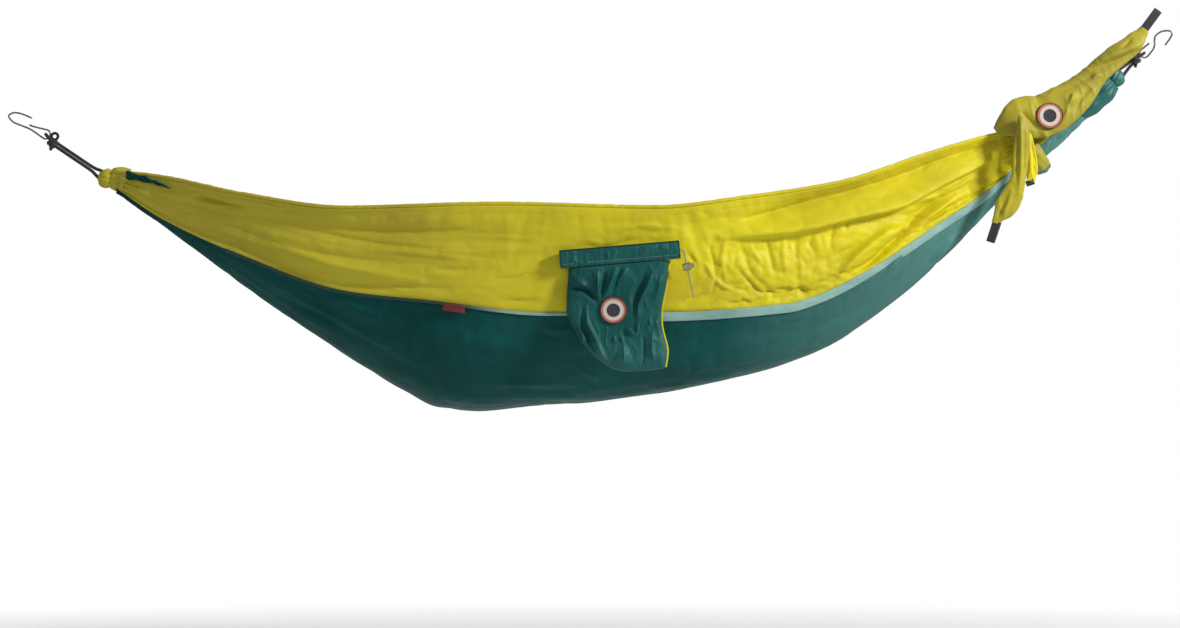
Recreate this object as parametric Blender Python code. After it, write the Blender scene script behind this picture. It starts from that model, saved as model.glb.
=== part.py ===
"""A compact camping hammock, hung up by its two S-hooks, with a stuff pouch and a pillow tied on.

The frame: +X runs along the hammock from the left hook to the right one, +Y goes away from the
side that carries the pouch, and +Z is up. The origin is the inside of the left hook's bend, where
the hammock hangs from its strap. Every length is in metres.
"""

import math

import bmesh
import bpy
import numpy as np
from mathutils import Matrix, Vector

# Cloth and clearances
CLOTH = 0.0024  # thickness that stands for the cloth with its folds
GAP = 0.0004  # between pieces that touch
HEM_RADIUS = 0.0024  # rolled hem along each long edge
SEAM_TAPE = (0.015, 0.0012)  # height and thickness of the felled seam's tape
TAPE_LIFT = 0.0013  # of the tape over the cloth, whose facets bulge a little

# The hung cloth, from gather to gather: (x, z) of each line, and (x, y) of half the opening
NECK = (0.189, 1.936)
HEM = [(0.186, -0.098), (0.27, -0.108), (0.42, -0.140), (0.60, -0.164), (0.86, -0.158),
       (1.14, -0.164), (1.30, -0.146), (1.46, -0.120), (1.62, -0.068), (1.73, -0.036),
       (1.79, -0.024), (1.84, 0.010), (1.94, 0.086)]
SEAM = [(0.186, -0.126), (0.27, -0.182), (0.42, -0.250), (0.60, -0.312), (0.75, -0.329),
        (0.95, -0.350), (1.15, -0.349), (1.37, -0.334), (1.42, -0.320), (1.53, -0.264),
        (1.63, -0.198), (1.74, -0.123), (1.79, -0.078), (1.84, -0.034), (1.94, 0.054)]
KEEL = [(0.186, -0.133), (0.27, -0.190), (0.42, -0.300), (0.60, -0.423), (0.70, -0.484),
        (0.76, -0.512), (0.83, -0.518), (0.90, -0.511), (1.05, -0.500), (1.26, -0.465),
        (1.42, -0.417), (1.53, -0.350), (1.63, -0.266), (1.74, -0.155), (1.79, -0.099),
        (1.84, -0.060), (1.94, 0.034)]
WIDTH = [(0.186, 0.013), (0.27, 0.040), (0.42, 0.095), (0.60, 0.145), (0.80, 0.178),
         (1.00, 0.188), (1.20, 0.178), (1.40, 0.142), (1.55, 0.098), (1.65, 0.062),
         (1.72, 0.040), (1.79, 0.029), (1.86, 0.025), (1.94, 0.013)]
FULLNESS = 0.3  # 0.5 makes each section half an ellipse, less makes it a fuller U
STATIONS = 26

# Hanging gear at each end: post that the rope loop turns about, and the middle of the hook's eye
ROPE = 0.006  # diameter
WIRE = 0.0032  # diameter of the S-hooks
EYE_RADIUS = 0.0082  # of the hook's lower curl, to the wire's middle
KNOT_DISTANCE = 0.0187  # from the eye's middle to the knot's
KNOT_RADIUS = 0.0085
LEFT = {"post": (0.168, -0.1085), "eye": (0.0639, -0.0324), "knot_towards": (0.648, -0.761),
        "bulb": (0.1715, -0.1105)}
RIGHT = {"post": (1.9565, 0.0700), "eye": (2.0048, 0.1111), "knot_towards": (-0.828, -0.561),
         "bulb": (1.9539, 0.0676)}
LEFT_HOOK = [(0.0385, -0.0035), (0.0280, 0.0012), (0.0172, 0.0047), (0.0079, 0.0056),
             (0.0018, 0.0035), (-0.0016, 0.0), (0.0018, -0.0063), (0.0084, -0.0119),
             (0.0228, -0.0177), (0.0359, -0.0231), (0.0481, -0.0312)]
LEFT_CURL = (235.7, 438.7)  # degrees round the eye, from the shank to the free end
LEFT_HOOK_END = [(0.0525, -0.0214), (0.0420, -0.0186), (0.0359, -0.0163)]
RIGHT_HOOK = [(2.0423, 0.1260), (2.0493, 0.1356), (2.0541, 0.1447), (2.0514, 0.1494),
              (2.0440, 0.1505), (2.0346, 0.1488), (2.0256, 0.1426), (2.0230, 0.1356),
              (2.0230, 0.1253), (2.0204, 0.1164)]
RIGHT_CURL = (-42.0, -233.1)
RIGHT_HOOK_END = [(2.0040, 0.1207), (2.0089, 0.1246), (2.0132, 0.1279)]

# Stuff pouch
POUCH_BACK = -0.1885  # y
POUCH_THICK = 0.0146
POUCH_WALL = 0.0016
HEADER = {"middle": (1.0770, -0.2473), "size": (0.209, 0.031), "tilt": math.radians(4.8)}
MOUTH = (0.160, 0.005)  # slit through the header, along X and Y
DRAWSTRING = 0.0026  # diameter
POUCH_OUTLINE = [(0.9850, -0.3250), (0.9870, -0.3560), (1.0080, -0.3960), (1.0370, -0.4270),
                 (1.0720, -0.4470), (1.1130, -0.4490), (1.1560, -0.4440), (1.1590, -0.4110),
                 (1.1500, -0.3720), (1.1500, -0.3400), (1.1580, -0.2980)]
POUCH_TOP_X = (0.9885, 1.1630)
PATCH_RADIUS = 0.0235
PATCH_THICK = 0.0012
POUCH_PATCH = (1.0661, -0.3435)

# Cord lock on the drawstring's tail
LOCK = (1.1935, -0.2678)
LOCK_RADIUS = 0.0070
LOCK_LENGTH = 0.0150
LOCK_PRESS = 0.0035  # travel of its button
TAIL_END = (1.2058, -0.3200)
TAIL_BEND = [(1.1868, -0.2402), (1.1899, -0.2465)]  # between the casing and the lock

# Pillow tied round the right-hand neck: (x, y, z, half its width, half its thickness, roll in degrees)
PILLOW = [(1.7960, -0.0545, -0.0100, 0.026, 0.007, 12), (1.8170, -0.0520, -0.0035, 0.038, 0.012, 12),
          (1.8450, -0.0490, 0.0090, 0.038, 0.014, 12), (1.8830, -0.0440, 0.0368, 0.031, 0.013, 12),
          (1.9180, -0.0380, 0.0735, 0.021, 0.011, 12), (1.9530, -0.0345, 0.1033, 0.020, 0.010, 12),
          (1.9800, -0.0320, 0.1240, 0.018, 0.009, 12), (1.9955, -0.0300, 0.1415, 0.0120, 0.005, 12)]
PILLOW_SPLIT = 0.0016  # between its two halves
PILLOW_PATCH = (1.8329, -0.0018)
KNOT_MIDDLE = (1.7945, 0.0, -0.0500)
KNOT_LEAN = math.radians(37)  # of the neck, and so of the knot's own axis
KNOT_INSIDE = (0.0455, 0.039)  # half its opening, across the neck and along Y
KNOT_BAND = (0.008, 0.014)  # half its thickness and half its width
LONG_TAIL = [(1.7824, -0.0810, -0.0035, 0.006, 0.004, 0), (1.7833, -0.0822, -0.0368, 0.0125, 0.006, 0),
             (1.7806, -0.0820, -0.0718, 0.014, 0.006, 0), (1.7771, -0.0800, -0.1085, 0.013, 0.006, 0),
             (1.7658, -0.0780, -0.1418, 0.0185, 0.0055, 0), (1.7535, -0.0765, -0.1645, 0.019, 0.005, 0),
             (1.7405, -0.0755, -0.1830, 0.009, 0.004, 0)]
SHORT_TAIL = [(1.7920, -0.0710, -0.0245, 0.006, 0.003, 0), (1.7980, -0.0710, -0.0630, 0.0095, 0.0042, 0),
              (1.8016, -0.0700, -0.0945, 0.010, 0.0045, 0), (1.7999, -0.0690, -0.1120, 0.008, 0.0035, 0)]
WEBBING = (0.015, 0.0018)  # width and thickness
TOP_WEBBING = {"from": (1.9990, -0.0300, 0.1475), "to": (2.0265, -0.0300, 0.1850), "turn": 0}
TAIL_WEBBING = {"from": (1.7398, -0.0755, -0.1880), "to": (1.7280, -0.0755, -0.2235), "turn": 20}

COLOURS = {
    "yellow_cloth": ((0.72, 0.66, 0.05), 0.55, 0.0),
    "green_cloth": ((0.012, 0.085, 0.075), 0.5, 0.0),
    "seam_tape": ((0.25, 0.42, 0.37), 0.5, 0.0),
    "cord": ((0.012, 0.011, 0.010), 0.7, 0.0),
    "webbing": ((0.020, 0.018, 0.020), 0.75, 0.0),
    "steel": ((0.45, 0.45, 0.46), 0.3, 1.0),
    "patch": ((0.62, 0.58, 0.52), 0.8, 0.0),
    "red_tag": ((0.22, 0.02, 0.015), 0.7, 0.0),
    "drawcord": ((0.33, 0.28, 0.15), 0.7, 0.0),
    "olive_plastic": ((0.26, 0.23, 0.12), 0.45, 0.0),
}


# --- helpers ---------------------------------------------------------------------------------


def material(slot):
    """The Principled material of one slot, made once."""
    found = bpy.data.materials.get(slot)
    if found:
        return found
    colour, roughness, metallic = COLOURS[slot]
    made = bpy.data.materials.new(slot)
    made.use_nodes = True
    shader = made.node_tree.nodes["Principled BSDF"]
    shader.inputs["Base Color"].default_value = (*colour, 1)
    shader.inputs["Roughness"].default_value = roughness
    shader.inputs["Metallic"].default_value = metallic
    return made


def add(name, mesh, slot, origin=(0, 0, 0)):
    """Links a mesh, given in world coordinates, as an object whose own origin is the one stated."""
    piece = bpy.data.objects.new(name, mesh)
    bpy.context.scene.collection.objects.link(piece)
    mesh.transform(Matrix.Translation(-Vector(origin)))
    piece.location = origin
    mesh.materials.append(material(slot))
    return piece


def mesh_of(name, verts, faces, outward=True):
    mesh = bpy.data.meshes.new(name)
    mesh.from_pydata([tuple(map(float, v)) for v in verts], [], faces)
    if outward:
        work = bmesh.new()
        work.from_mesh(mesh)
        bmesh.ops.recalc_face_normals(work, faces=work.faces)
        work.to_mesh(mesh)
        work.free()
    return mesh


def shade(piece, angle=40):
    piece.data.shade_smooth()
    piece.data.set_sharp_from_angle(angle=math.radians(angle))


def through(points):
    """A smooth y(x) through the points that doesn't overshoot them (a monotone cubic)."""
    x, y = np.array(points, float).T
    step, rise = np.diff(x), np.diff(y) / np.diff(x)
    slope = np.zeros_like(y)
    slope[0], slope[-1] = rise[0], rise[-1]
    same = rise[:-1] * rise[1:] > 0
    mean = 2 * rise[:-1] * rise[1:] / np.where(same, rise[:-1] + rise[1:], 1)
    slope[1:-1] = np.where(same, mean, 0)

    def value(at):
        k = int(np.clip(np.searchsorted(x, at) - 1, 0, len(step) - 1))
        t = (at - x[k]) / step[k]
        h = step[k]
        return ((2 * t**3 - 3 * t**2 + 1) * y[k] + (t**3 - 2 * t**2 + t) * h * slope[k]
                + (3 * t**2 - 2 * t**3) * y[k + 1] + (t**3 - t**2) * h * slope[k + 1])

    return value


def route(points, steps=6):
    """Points along a Catmull-Rom curve through the given ones."""
    p = np.array(points, float)
    p = np.vstack([2 * p[0] - p[1], p, 2 * p[-1] - p[-2]])
    made = []
    for a, b, c, d in zip(p, p[1:], p[2:], p[3:]):
        for t in np.arange(steps) / steps:
            made.append(0.5 * (2 * b + (c - a) * t + (2 * a - 5 * b + 4 * c - d) * t**2
                               + (3 * b - a - 3 * c + d) * t**3))
    return [*made, p[-2]]


def tube(name, points, radius, slot, origin=(0, 0, 0), sides=2, closed=False):
    """A round cord or wire as a curve object with filled caps."""
    curve = bpy.data.curves.new(name, "CURVE")
    curve.dimensions = "3D"
    curve.bevel_depth = radius
    curve.bevel_resolution = sides
    curve.render_resolution_u = 0
    curve.use_fill_caps = True
    spline = curve.splines.new("POLY")
    spline.points.add(len(points) - 1)
    for point, place in zip(spline.points, points):
        point.co = (*(Vector(place) - Vector(origin)), 1)
    spline.use_cyclic_u = closed
    curve.materials.append(material(slot))
    piece = bpy.data.objects.new(name, curve)
    bpy.context.scene.collection.objects.link(piece)
    piece.location = origin
    return piece


def flat(points, y=0.0):
    """(x, z) points as 3-D ones at one y."""
    return [(x, y, z) for x, z in points]


def hide(piece):
    """Marks an object as a cutter or an operand, which isn't a part of its own."""
    piece.hide_render = True
    piece.display_type = "WIRE"
    return piece


def boolean(piece, other, operation):
    """Joins another solid to a piece or cuts it away; a curve is made into a mesh for it."""
    if other.type == "CURVE":
        curve = other
        name, place = curve.name, curve.location.copy()
        ready = curve.evaluated_get(bpy.context.evaluated_depsgraph_get())
        solid = bpy.data.meshes.new_from_object(ready)
        bpy.data.objects.remove(curve, do_unlink=True)
        other = bpy.data.objects.new(name, solid)
        other.location = place
        bpy.context.scene.collection.objects.link(other)
    step = piece.modifiers.new(operation.lower(), "BOOLEAN")
    step.object = hide(other)
    step.operation = operation
    step.solver = "EXACT"


def ball(name, middle, size, slot, turn=None, segments=16, rings=10, origin=None):
    """An ellipsoid, with its half sizes, turned about its middle."""
    work = bmesh.new()
    bmesh.ops.create_uvsphere(work, u_segments=segments, v_segments=rings, radius=1)
    bmesh.ops.transform(work, matrix=Matrix.Diagonal((*size, 1)), verts=work.verts)
    bmesh.ops.transform(work, matrix=(turn or Matrix()).to_4x4(), verts=work.verts)
    bmesh.ops.translate(work, vec=middle, verts=work.verts)
    mesh = bpy.data.meshes.new(name)
    work.to_mesh(mesh)
    work.free()
    piece = add(name, mesh, slot, origin or middle)
    shade(piece)
    return piece


def prism(name, outline, low, high, slot, origin=(0, 0, 0)):
    """An (x, z) outline between two values of y."""
    count = len(outline)
    verts = [(x, y, z) for y in (low, high) for x, z in outline]
    sides = [(k, (k + 1) % count, count + (k + 1) % count, count + k) for k in range(count)]
    faces = [tuple(range(count)), tuple(range(count, 2 * count)), *sides]
    return add(name, mesh_of(name, verts, faces), slot, origin)


def turned_box(name, middle, size, tilt, slot, bevel=0.0, origin=(0, 0, 0)):
    """A box of (length, depth, height), leaning by tilt about Y."""
    work = bmesh.new()
    bmesh.ops.create_cube(work, size=1)
    bmesh.ops.transform(work, matrix=Matrix.Diagonal((*size, 1)), verts=work.verts)
    if bevel:
        bmesh.ops.bevel(work, geom=work.edges[:], offset=bevel, segments=2, affect="EDGES", profile=0.5)
    bmesh.ops.transform(work, matrix=Matrix.Rotation(-tilt, 4, "Y"), verts=work.verts)
    bmesh.ops.translate(work, vec=middle, verts=work.verts)
    mesh = bpy.data.meshes.new(name)
    work.to_mesh(mesh)
    work.free()
    return add(name, mesh, slot, origin)


def rod(name, a, b, radius, slot, sides=20, origin=(0, 0, 0), bevel=0.0):
    """A round bar from a to b."""
    a, b = Vector(a), Vector(b)
    work = bmesh.new()
    bmesh.ops.create_cone(work, cap_ends=True, segments=sides, radius1=radius, radius2=radius,
                          depth=(b - a).length)
    if bevel:
        rims = [e for e in work.edges if e.calc_face_angle(0) > 1]
        bmesh.ops.bevel(work, geom=rims, offset=bevel, segments=2, affect="EDGES", profile=0.5)
    turn = (b - a).to_track_quat("Z", "Y").to_matrix().to_4x4()
    bmesh.ops.transform(work, matrix=Matrix.Translation((a + b) / 2) @ turn, verts=work.verts)
    mesh = bpy.data.meshes.new(name)
    work.to_mesh(mesh)
    work.free()
    piece = add(name, mesh, slot, origin)
    shade(piece)
    return piece


# --- the hung cloth --------------------------------------------------------------------------

hem_z, seam_z, keel_z, half_width = map(through, (HEM, SEAM, KEEL, WIDTH))
ALONG = np.linspace(*NECK, STATIONS)


def top_z(x):
    """The cloth's upper edge, just under the rolled hem."""
    return hem_z(x) - HEM_RADIUS - 2 * GAP


def drop(x, z):
    """How far down the section a height is: 0 at the cloth's edge, 1 at the keel."""
    return (top_z(x) - z) / (top_z(x) - keel_z(x))


def on_cloth(x, f, side):
    """A point of the outer face; side is -1 for the pouch's side and 1 for the far one."""
    y = half_width(x) * max(0.0, 1 - f * f) ** FULLNESS
    return Vector((x, side * y, top_z(x) - (top_z(x) - keel_z(x)) * f))


def lifted(x, f, side, by):
    """A point at a distance outside the cloth."""
    along = on_cloth(x + 0.001, f, side) - on_cloth(x - 0.001, f, side)
    down = on_cloth(x, f + 0.002, side) - on_cloth(x, f - 0.002, side)
    normal = along.cross(down) * side
    return on_cloth(x, f, side) + normal.normalized() * by


def shell(name, rows, slot, thickness=CLOTH):
    """A closed skin from a grid of points on the outer face, thickened inwards."""
    wide = len(rows[0])
    faces = [(wide * j + k, wide * j + k + 1, wide * (j + 1) + k + 1, wide * (j + 1) + k)
             for j in range(len(rows) - 1) for k in range(wide - 1)]
    mesh = mesh_of(name, [p for row in rows for p in row], faces, outward=False)
    facing = sum(p.normal.dot(p.center - Vector((p.center.x, 0, top_z(p.center.x))))
                 for p in mesh.polygons)
    if facing < 0:
        mesh.flip_normals()
    piece = add(name, mesh, slot)
    skin = piece.modifiers.new("cloth", "SOLIDIFY")
    skin.thickness = thickness
    skin.offset = -1
    skin.use_even_offset = True
    shade(piece)
    return piece


def side_panel(name, side):
    rows = []
    for x in ALONG:
        low = drop(x, seam_z(x)) - GAP / (top_z(x) - keel_z(x))
        rows.append([on_cloth(x, f, side) for f in np.linspace(0, low, 6)])
    shell(name, rows, "yellow_cloth")


def centre_panel():
    rows = []
    for x in ALONG:
        high = drop(x, seam_z(x)) + GAP / (top_z(x) - keel_z(x))
        across = np.linspace(1, -1, 13) * (1 - high * high) ** FULLNESS
        falls = [math.sqrt(1 - abs(c) ** (1 / FULLNESS)) for c in across]
        rows.append([on_cloth(x, f, 1 if c > 0 else -1) for c, f in zip(across, falls)])
    shell("centre_panel", rows, "green_cloth")


def seam_band(name, side):
    tall, thick = SEAM_TAPE
    rows = []
    for x in ALONG[3:-2]:
        depth = top_z(x) - keel_z(x)
        high = drop(x, seam_z(x)) - 0.15 * tall / depth
        low = min(0.985, high + tall / depth)
        rows.append([lifted(x, f, side, TAPE_LIFT + thick) for f in np.linspace(high, low, 4)])
    shell(name, rows, "seam_tape", thick)


def hems_and_tag():
    for name, side in (("near_hem", -1), ("far_hem", 1)):
        line = [(x, side * (half_width(x) - CLOTH / 2), hem_z(x)) for x in ALONG]
        tube(name, line, HEM_RADIUS, "yellow_cloth", sides=1)
    rows = [[lifted(x, drop(x, seam_z(x) + z), -1, 0.0046) for z in (0.002, -0.011)]
            for x in np.linspace(0.770, 0.808, 4)]
    shell("seam_tag", rows, "red_tag", 0.0012)


def end_sleeve(name, end, slot):
    """The gathered channel at an end: a bulb of cloth, slotted for the rope and with a post of
    bunched cloth through the rope's loop."""
    px, pz = end["post"]
    bx, bz = end["bulb"]
    away = Vector((bx - px, 0, bz - pz)).normalized()
    turn = away.to_track_quat("X", "Z").to_matrix()
    bulb = ball(name, (bx, 0, bz), (0.0162, 0.013, 0.0168), slot, turn, 20, 12)
    slot_half = ROPE / 2 + 0.0006
    pocket = rod(f"{name}_pocket", (px, -slot_half, pz), (px, slot_half, pz), 0.0126, slot, 24)
    knot = knot_middle(end)
    lean = math.atan2(knot[1] - pz, knot[0] - px)
    reach = 0.030
    way = turned_box(f"{name}_way", (px + reach / 2 * math.cos(lean), 0, pz + reach / 2 * math.sin(lean)),
                     (reach, 2 * slot_half, 0.028), lean, slot)
    post = rod(f"{name}_post", (px, -slot_half - 0.002, pz), (px, slot_half + 0.002, pz), 0.0042, slot, 16)
    boolean(bulb, pocket, "DIFFERENCE")
    boolean(bulb, way, "DIFFERENCE")
    boolean(bulb, post, "UNION")


# --- ropes, knots and hooks ------------------------------------------------------------------


def knot_middle(end):
    (ex, ez), (dx, dz) = end["eye"], end["knot_towards"]
    return ex + KNOT_DISTANCE * dx, ez + KNOT_DISTANCE * dz


def rope_loop(name, end):
    """A doubled rope from its knot, round the post in the gather and back to the knot."""
    post, knot = Vector(end["post"]), Vector(knot_middle(end))
    along = (knot - post).normalized()
    across = Vector((-along.y, along.x))
    length = (knot - post).length - KNOT_RADIUS - 0.0008
    reaches = [length, 0.5 * length + 0.014, 0.028, 0.015, 0.0045, -0.0045]
    spreads = [0.0033, 0.0033, 0.0034, 0.0055, 0.0076, 0.0070]
    half = list(zip(reaches, spreads))
    local = [*half, (-0.0084, 0), *[(a, -b) for a, b in reversed(half)]]
    world = [post + along * a + across * b for a, b in local]
    tube(name, route(flat(world), 3), ROPE / 2, "cord", (post.x, 0, post.y))


def rope_knot(name, end):
    """The rope's knot: its body, the bight that holds the hook, a side eye and a cut end."""
    eye, towards = Vector(end["eye"]), Vector(end["knot_towards"])
    across = Vector((towards.y, -towards.x)) * (1 if towards.x > 0 else -1)
    px, pz = end["post"]

    def place(back, up, y):
        spot = eye + towards * back + across * -up
        return spot.x, y, spot.y

    size = (KNOT_RADIUS,) * 3
    body = ball(name, place(KNOT_DISTANCE, 0, 0), size, "cord", None, 14, 8, (px, 0, pz))
    bend = 0.0056
    turns = [(bend - bend * math.cos(t), bend * math.sin(t))
             for t in np.radians(np.linspace(-90, 90, 9))]
    bight = [(0.0150, -bend), *turns, (0.0150, bend)]
    boolean(body, tube(f"{name}_bight", [place(b, 0, y) for b, y in bight], 0.0029, "cord"), "UNION")
    ring = [place(0.0140 + 0.0050 * math.cos(t), 0.0060 + 0.0050 * math.sin(t), -0.0062)
            for t in np.radians(np.arange(0, 360, 30))]
    boolean(body, tube(f"{name}_side_eye", ring, 0.0026, "cord", closed=True), "UNION")
    stub = [place(0.0200, -0.0040, 0.002), place(0.0255, -0.0105, 0.003)]
    boolean(body, tube(f"{name}_end", stub, 0.0031, "cord"), "UNION")


def s_hook(name, end, shank, curl, tip):
    """A bent wire hook whose lower curl goes round the rope's bight."""
    ex, ez = end["eye"]
    turns = np.radians(np.linspace(*curl, 13))
    arc = [(ex + EYE_RADIUS * math.cos(t), ez + EYE_RADIUS * math.sin(t)) for t in turns]
    line = [*route(shank, 2)[:-1], *arc, *route(tip, 2)]
    tube(name, [tuple(p) for p in flat(line)], WIRE / 2, "steel", (ex, 0, ez))


# --- stuff pouch -----------------------------------------------------------------------------

POUCH_FRONT = POUCH_BACK - POUCH_THICK


def header_line(x, down=0.0):
    """The height of the header's lower edge at x, and of lines below it."""
    mx, mz = HEADER["middle"]
    tilt = HEADER["tilt"]
    return mz - HEADER["size"][1] / 2 / math.cos(tilt) + (x - mx) * math.tan(tilt) - down


def pouch_outline(grow=0.0, rise=0.0):
    """The bag's outline, optionally pulled in by grow and with its top raised."""
    left, right = POUCH_TOP_X
    top = [(right, header_line(right, 0.0008)), (left, header_line(left, 0.0008))]
    mx = sum(x for x, _ in POUCH_OUTLINE) / len(POUCH_OUTLINE)
    mz = sum(z for _, z in POUCH_OUTLINE) / len(POUCH_OUTLINE)
    pull = [(x + grow * np.sign(mx - x), z + grow * (z < mz)) for x, z in POUCH_OUTLINE]
    return [*pull, *[(x + grow * np.sign(mx - x), z + rise) for x, z in top]]


def pouch():
    hinge = (HEADER["middle"][0], POUCH_FRONT, header_line(HEADER["middle"][0], 0.0008))
    split = POUCH_BACK - POUCH_WALL
    front = prism("pouch_front", pouch_outline(), POUCH_FRONT, split - GAP, "green_cloth", hinge)
    inside = prism("pouch_space", pouch_outline(0.0022, 0.02), POUCH_FRONT + POUCH_WALL, split + 0.01,
                   "green_cloth", hinge)
    boolean(front, inside, "DIFFERENCE")
    prism("pouch_back", pouch_outline(), split, POUCH_BACK, "yellow_cloth", hinge)
    x, z = POUCH_PATCH
    face = POUCH_FRONT - 0.0003
    rod("pouch_patch", (x, face, z), (x, face - PATCH_THICK, z), PATCH_RADIUS, "patch", 28, hinge)


def header():
    """The casing round the pouch's mouth, bored for the drawstring."""
    mx, mz = HEADER["middle"]
    length, tall = HEADER["size"]
    middle = (mx, (POUCH_BACK + POUCH_FRONT) / 2, mz)
    casing = turned_box("pouch_header", middle, (length, POUCH_THICK, tall), HEADER["tilt"],
                        "green_cloth", 0.0016)
    mouth = turned_box("header_mouth", middle, (MOUTH[0], MOUTH[1], 2 * tall), HEADER["tilt"],
                       "green_cloth")
    bore = tube("header_bore", casing_line(length / 2 + 0.004), DRAWSTRING / 2 + 0.0005, "green_cloth",
                sides=1)
    boolean(casing, mouth, "DIFFERENCE")
    boolean(casing, bore, "DIFFERENCE")


CORD_FRONT = POUCH_FRONT + 0.0024
CORD_BACK = POUCH_BACK - 0.0024


def in_header(along, y):
    """A point on the casing's middle line, at a distance along it."""
    mx, mz = HEADER["middle"]
    tilt = HEADER["tilt"]
    return mx + along * math.cos(tilt), y, mz + along * math.sin(tilt)


def casing_line(first):
    """Round the mouth inside the casing: in along the front, turning at the left, back along the rear."""
    half = HEADER["size"][0] / 2
    middle = (CORD_FRONT + CORD_BACK) / 2
    front = [in_header(along, CORD_FRONT) for along in (first, half - 0.010, 0.06, 0.0, -0.06, -0.092)]
    turn = [in_header(-0.0965, CORD_FRONT + 0.0022), in_header(-0.0985, middle),
            in_header(-0.0965, CORD_BACK - 0.0022)]
    rear = [in_header(along, CORD_BACK) for along in (-0.092, -0.06, 0.0, 0.06, half - 0.016)]
    return [tuple(p) for p in route([*front, *turn, *rear], 3)]


def lock_slope():
    """The way down the drawstring's tail, through the lock."""
    return Vector((TAIL_END[0] - LOCK[0], 0, TAIL_END[1] - LOCK[1])).normalized()


def tail_line():
    """Out of the casing, round a bend, through the lock and down."""
    half = HEADER["size"][0] / 2
    lock = Vector((LOCK[0], CORD_FRONT, LOCK[1]))
    down = [lock + lock_slope() * s for s in (-0.009, 0.0, 0.009, 0.020, 0.032, 0.044, 0.0535)]
    bend = [(x, CORD_FRONT, z) for x, z in TAIL_BEND]
    return [tuple(p) for p in route([in_header(half + GAP, CORD_FRONT), *bend, *down], 3)]


def cord_lock():
    """A barrel with a sprung button, both bored for the drawstring, which is in two lengths: the one
    that the casing holds and the one that hangs out of it."""
    tube("drawstring", casing_line(HEADER["size"][0] / 2 - GAP), DRAWSTRING / 2, "drawcord")
    tube("drawstring_tail", tail_line(), DRAWSTRING / 2, "drawcord")
    slope = lock_slope()
    side = Vector((-slope.z, 0, slope.x))
    middle = Vector((LOCK[0], CORD_FRONT, LOCK[1]))
    left, right = middle - side * LOCK_LENGTH / 2, middle + side * LOCK_LENGTH / 2
    barrel = rod("cord_lock", left, right, LOCK_RADIUS, "olive_plastic", 18, middle, 0.0012)
    well = rod("lock_well", left + side * 0.0022, right + side * 0.01, 0.0044, "olive_plastic", 16)
    boolean(barrel, well, "DIFFERENCE")
    ways = [middle + slope * s for s in (-0.012, 0.012)]
    boolean(barrel, rod("lock_way", *ways, 0.0020, "olive_plastic", 12), "DIFFERENCE")
    start, stop = left + side * (0.0026 + LOCK_PRESS), right + side * 0.0055
    button = rod("lock_button", start, stop, 0.0040, "olive_plastic", 16, middle, 0.0008)
    slot = turned_box("button_way", middle + side * LOCK_PRESS / 2, (0.0040 + LOCK_PRESS, 0.0040, 0.02),
                      math.atan2(side.z, side.x), "olive_plastic")
    boolean(button, slot, "DIFFERENCE")


# --- pillow tied on --------------------------------------------------------------------------


def loft(name, stations, slot, half=None, origin=(0, 0, 0), sides=12, rounds=3):
    """A soft closed form through oval sections; half is -1 or 1 for only its front or its back."""
    rows = np.array(route(stations, rounds))
    middles = rows[:, :3]
    verts, ways = [], np.gradient(middles, axis=0)
    if half is None:
        angles = np.arange(sides) * 2 * math.pi / sides
    else:
        angles = np.linspace(0, math.pi, sides // 2 + 1) + (0 if half > 0 else math.pi)
    for (x, y, z, wide, thick, roll), way in zip(rows, ways):
        way = Vector((way[0], 0, way[2])).normalized()
        up = Vector((-way.z, 0, way.x))
        out = Vector((0, 1, 0))
        lean = math.radians(roll)
        broad = up * math.cos(lean) + out * math.sin(lean)
        deep = out * math.cos(lean) - up * math.sin(lean)
        shift = deep * (PILLOW_SPLIT / 2 * (half or 0))
        for t in angles:
            flatness = abs(math.sin(t)) ** 0.8 * math.copysign(1, math.sin(t))
            verts.append(Vector((x, y, z)) + broad * wide * math.cos(t) + deep * thick * flatness + shift)
    count = len(angles)
    faces = [(count * j + k, count * j + (k + 1) % count, count * (j + 1) + (k + 1) % count,
              count * (j + 1) + k) for j in range(len(rows) - 1) for k in range(count)]
    faces += [tuple(range(count)), tuple(range(count * (len(rows) - 1), count * len(rows)))]
    piece = add(name, mesh_of(name, verts, faces), slot, origin)
    shade(piece, 60)
    return piece


def knot_arc(name, slot, start, stop):
    """A stretch of the band that goes round the neck; 0 degrees is above the neck, 90 in front."""
    mx, my, mz = KNOT_MIDDLE
    axis = Vector((math.cos(KNOT_LEAN), 0, math.sin(KNOT_LEAN)))
    up = Vector((-axis.z, 0, axis.x))
    thick, wide = KNOT_BAND
    verts, count = [], 8
    angles = np.radians(np.linspace(start, stop, max(4, int((stop - start) / 15))))
    for t in angles:
        radial = up * math.cos(t) - Vector((0, 1, 0)) * math.sin(t)
        high = math.copysign(abs(math.cos(t)) ** 0.7, math.cos(t)) * (KNOT_INSIDE[0] + thick)
        near = math.copysign(abs(math.sin(t)) ** 0.7, math.sin(t)) * (KNOT_INSIDE[1] + thick)
        reach = up * high - Vector((0, 1, 0)) * near
        for s in np.arange(count) * 2 * math.pi / count:
            spot = Vector((mx, my, mz)) + reach + radial * thick * math.cos(s) + axis * wide * math.sin(s)
            verts.append(spot)
    faces = [(count * j + k, count * j + (k + 1) % count, count * (j + 1) + (k + 1) % count,
              count * (j + 1) + k) for j in range(len(angles) - 1) for k in range(count)]
    faces += [tuple(range(count)), tuple(range(count * (len(angles) - 1), count * len(angles)))]
    shade(add(name, mesh_of(name, verts, faces), slot), 60)


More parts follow.
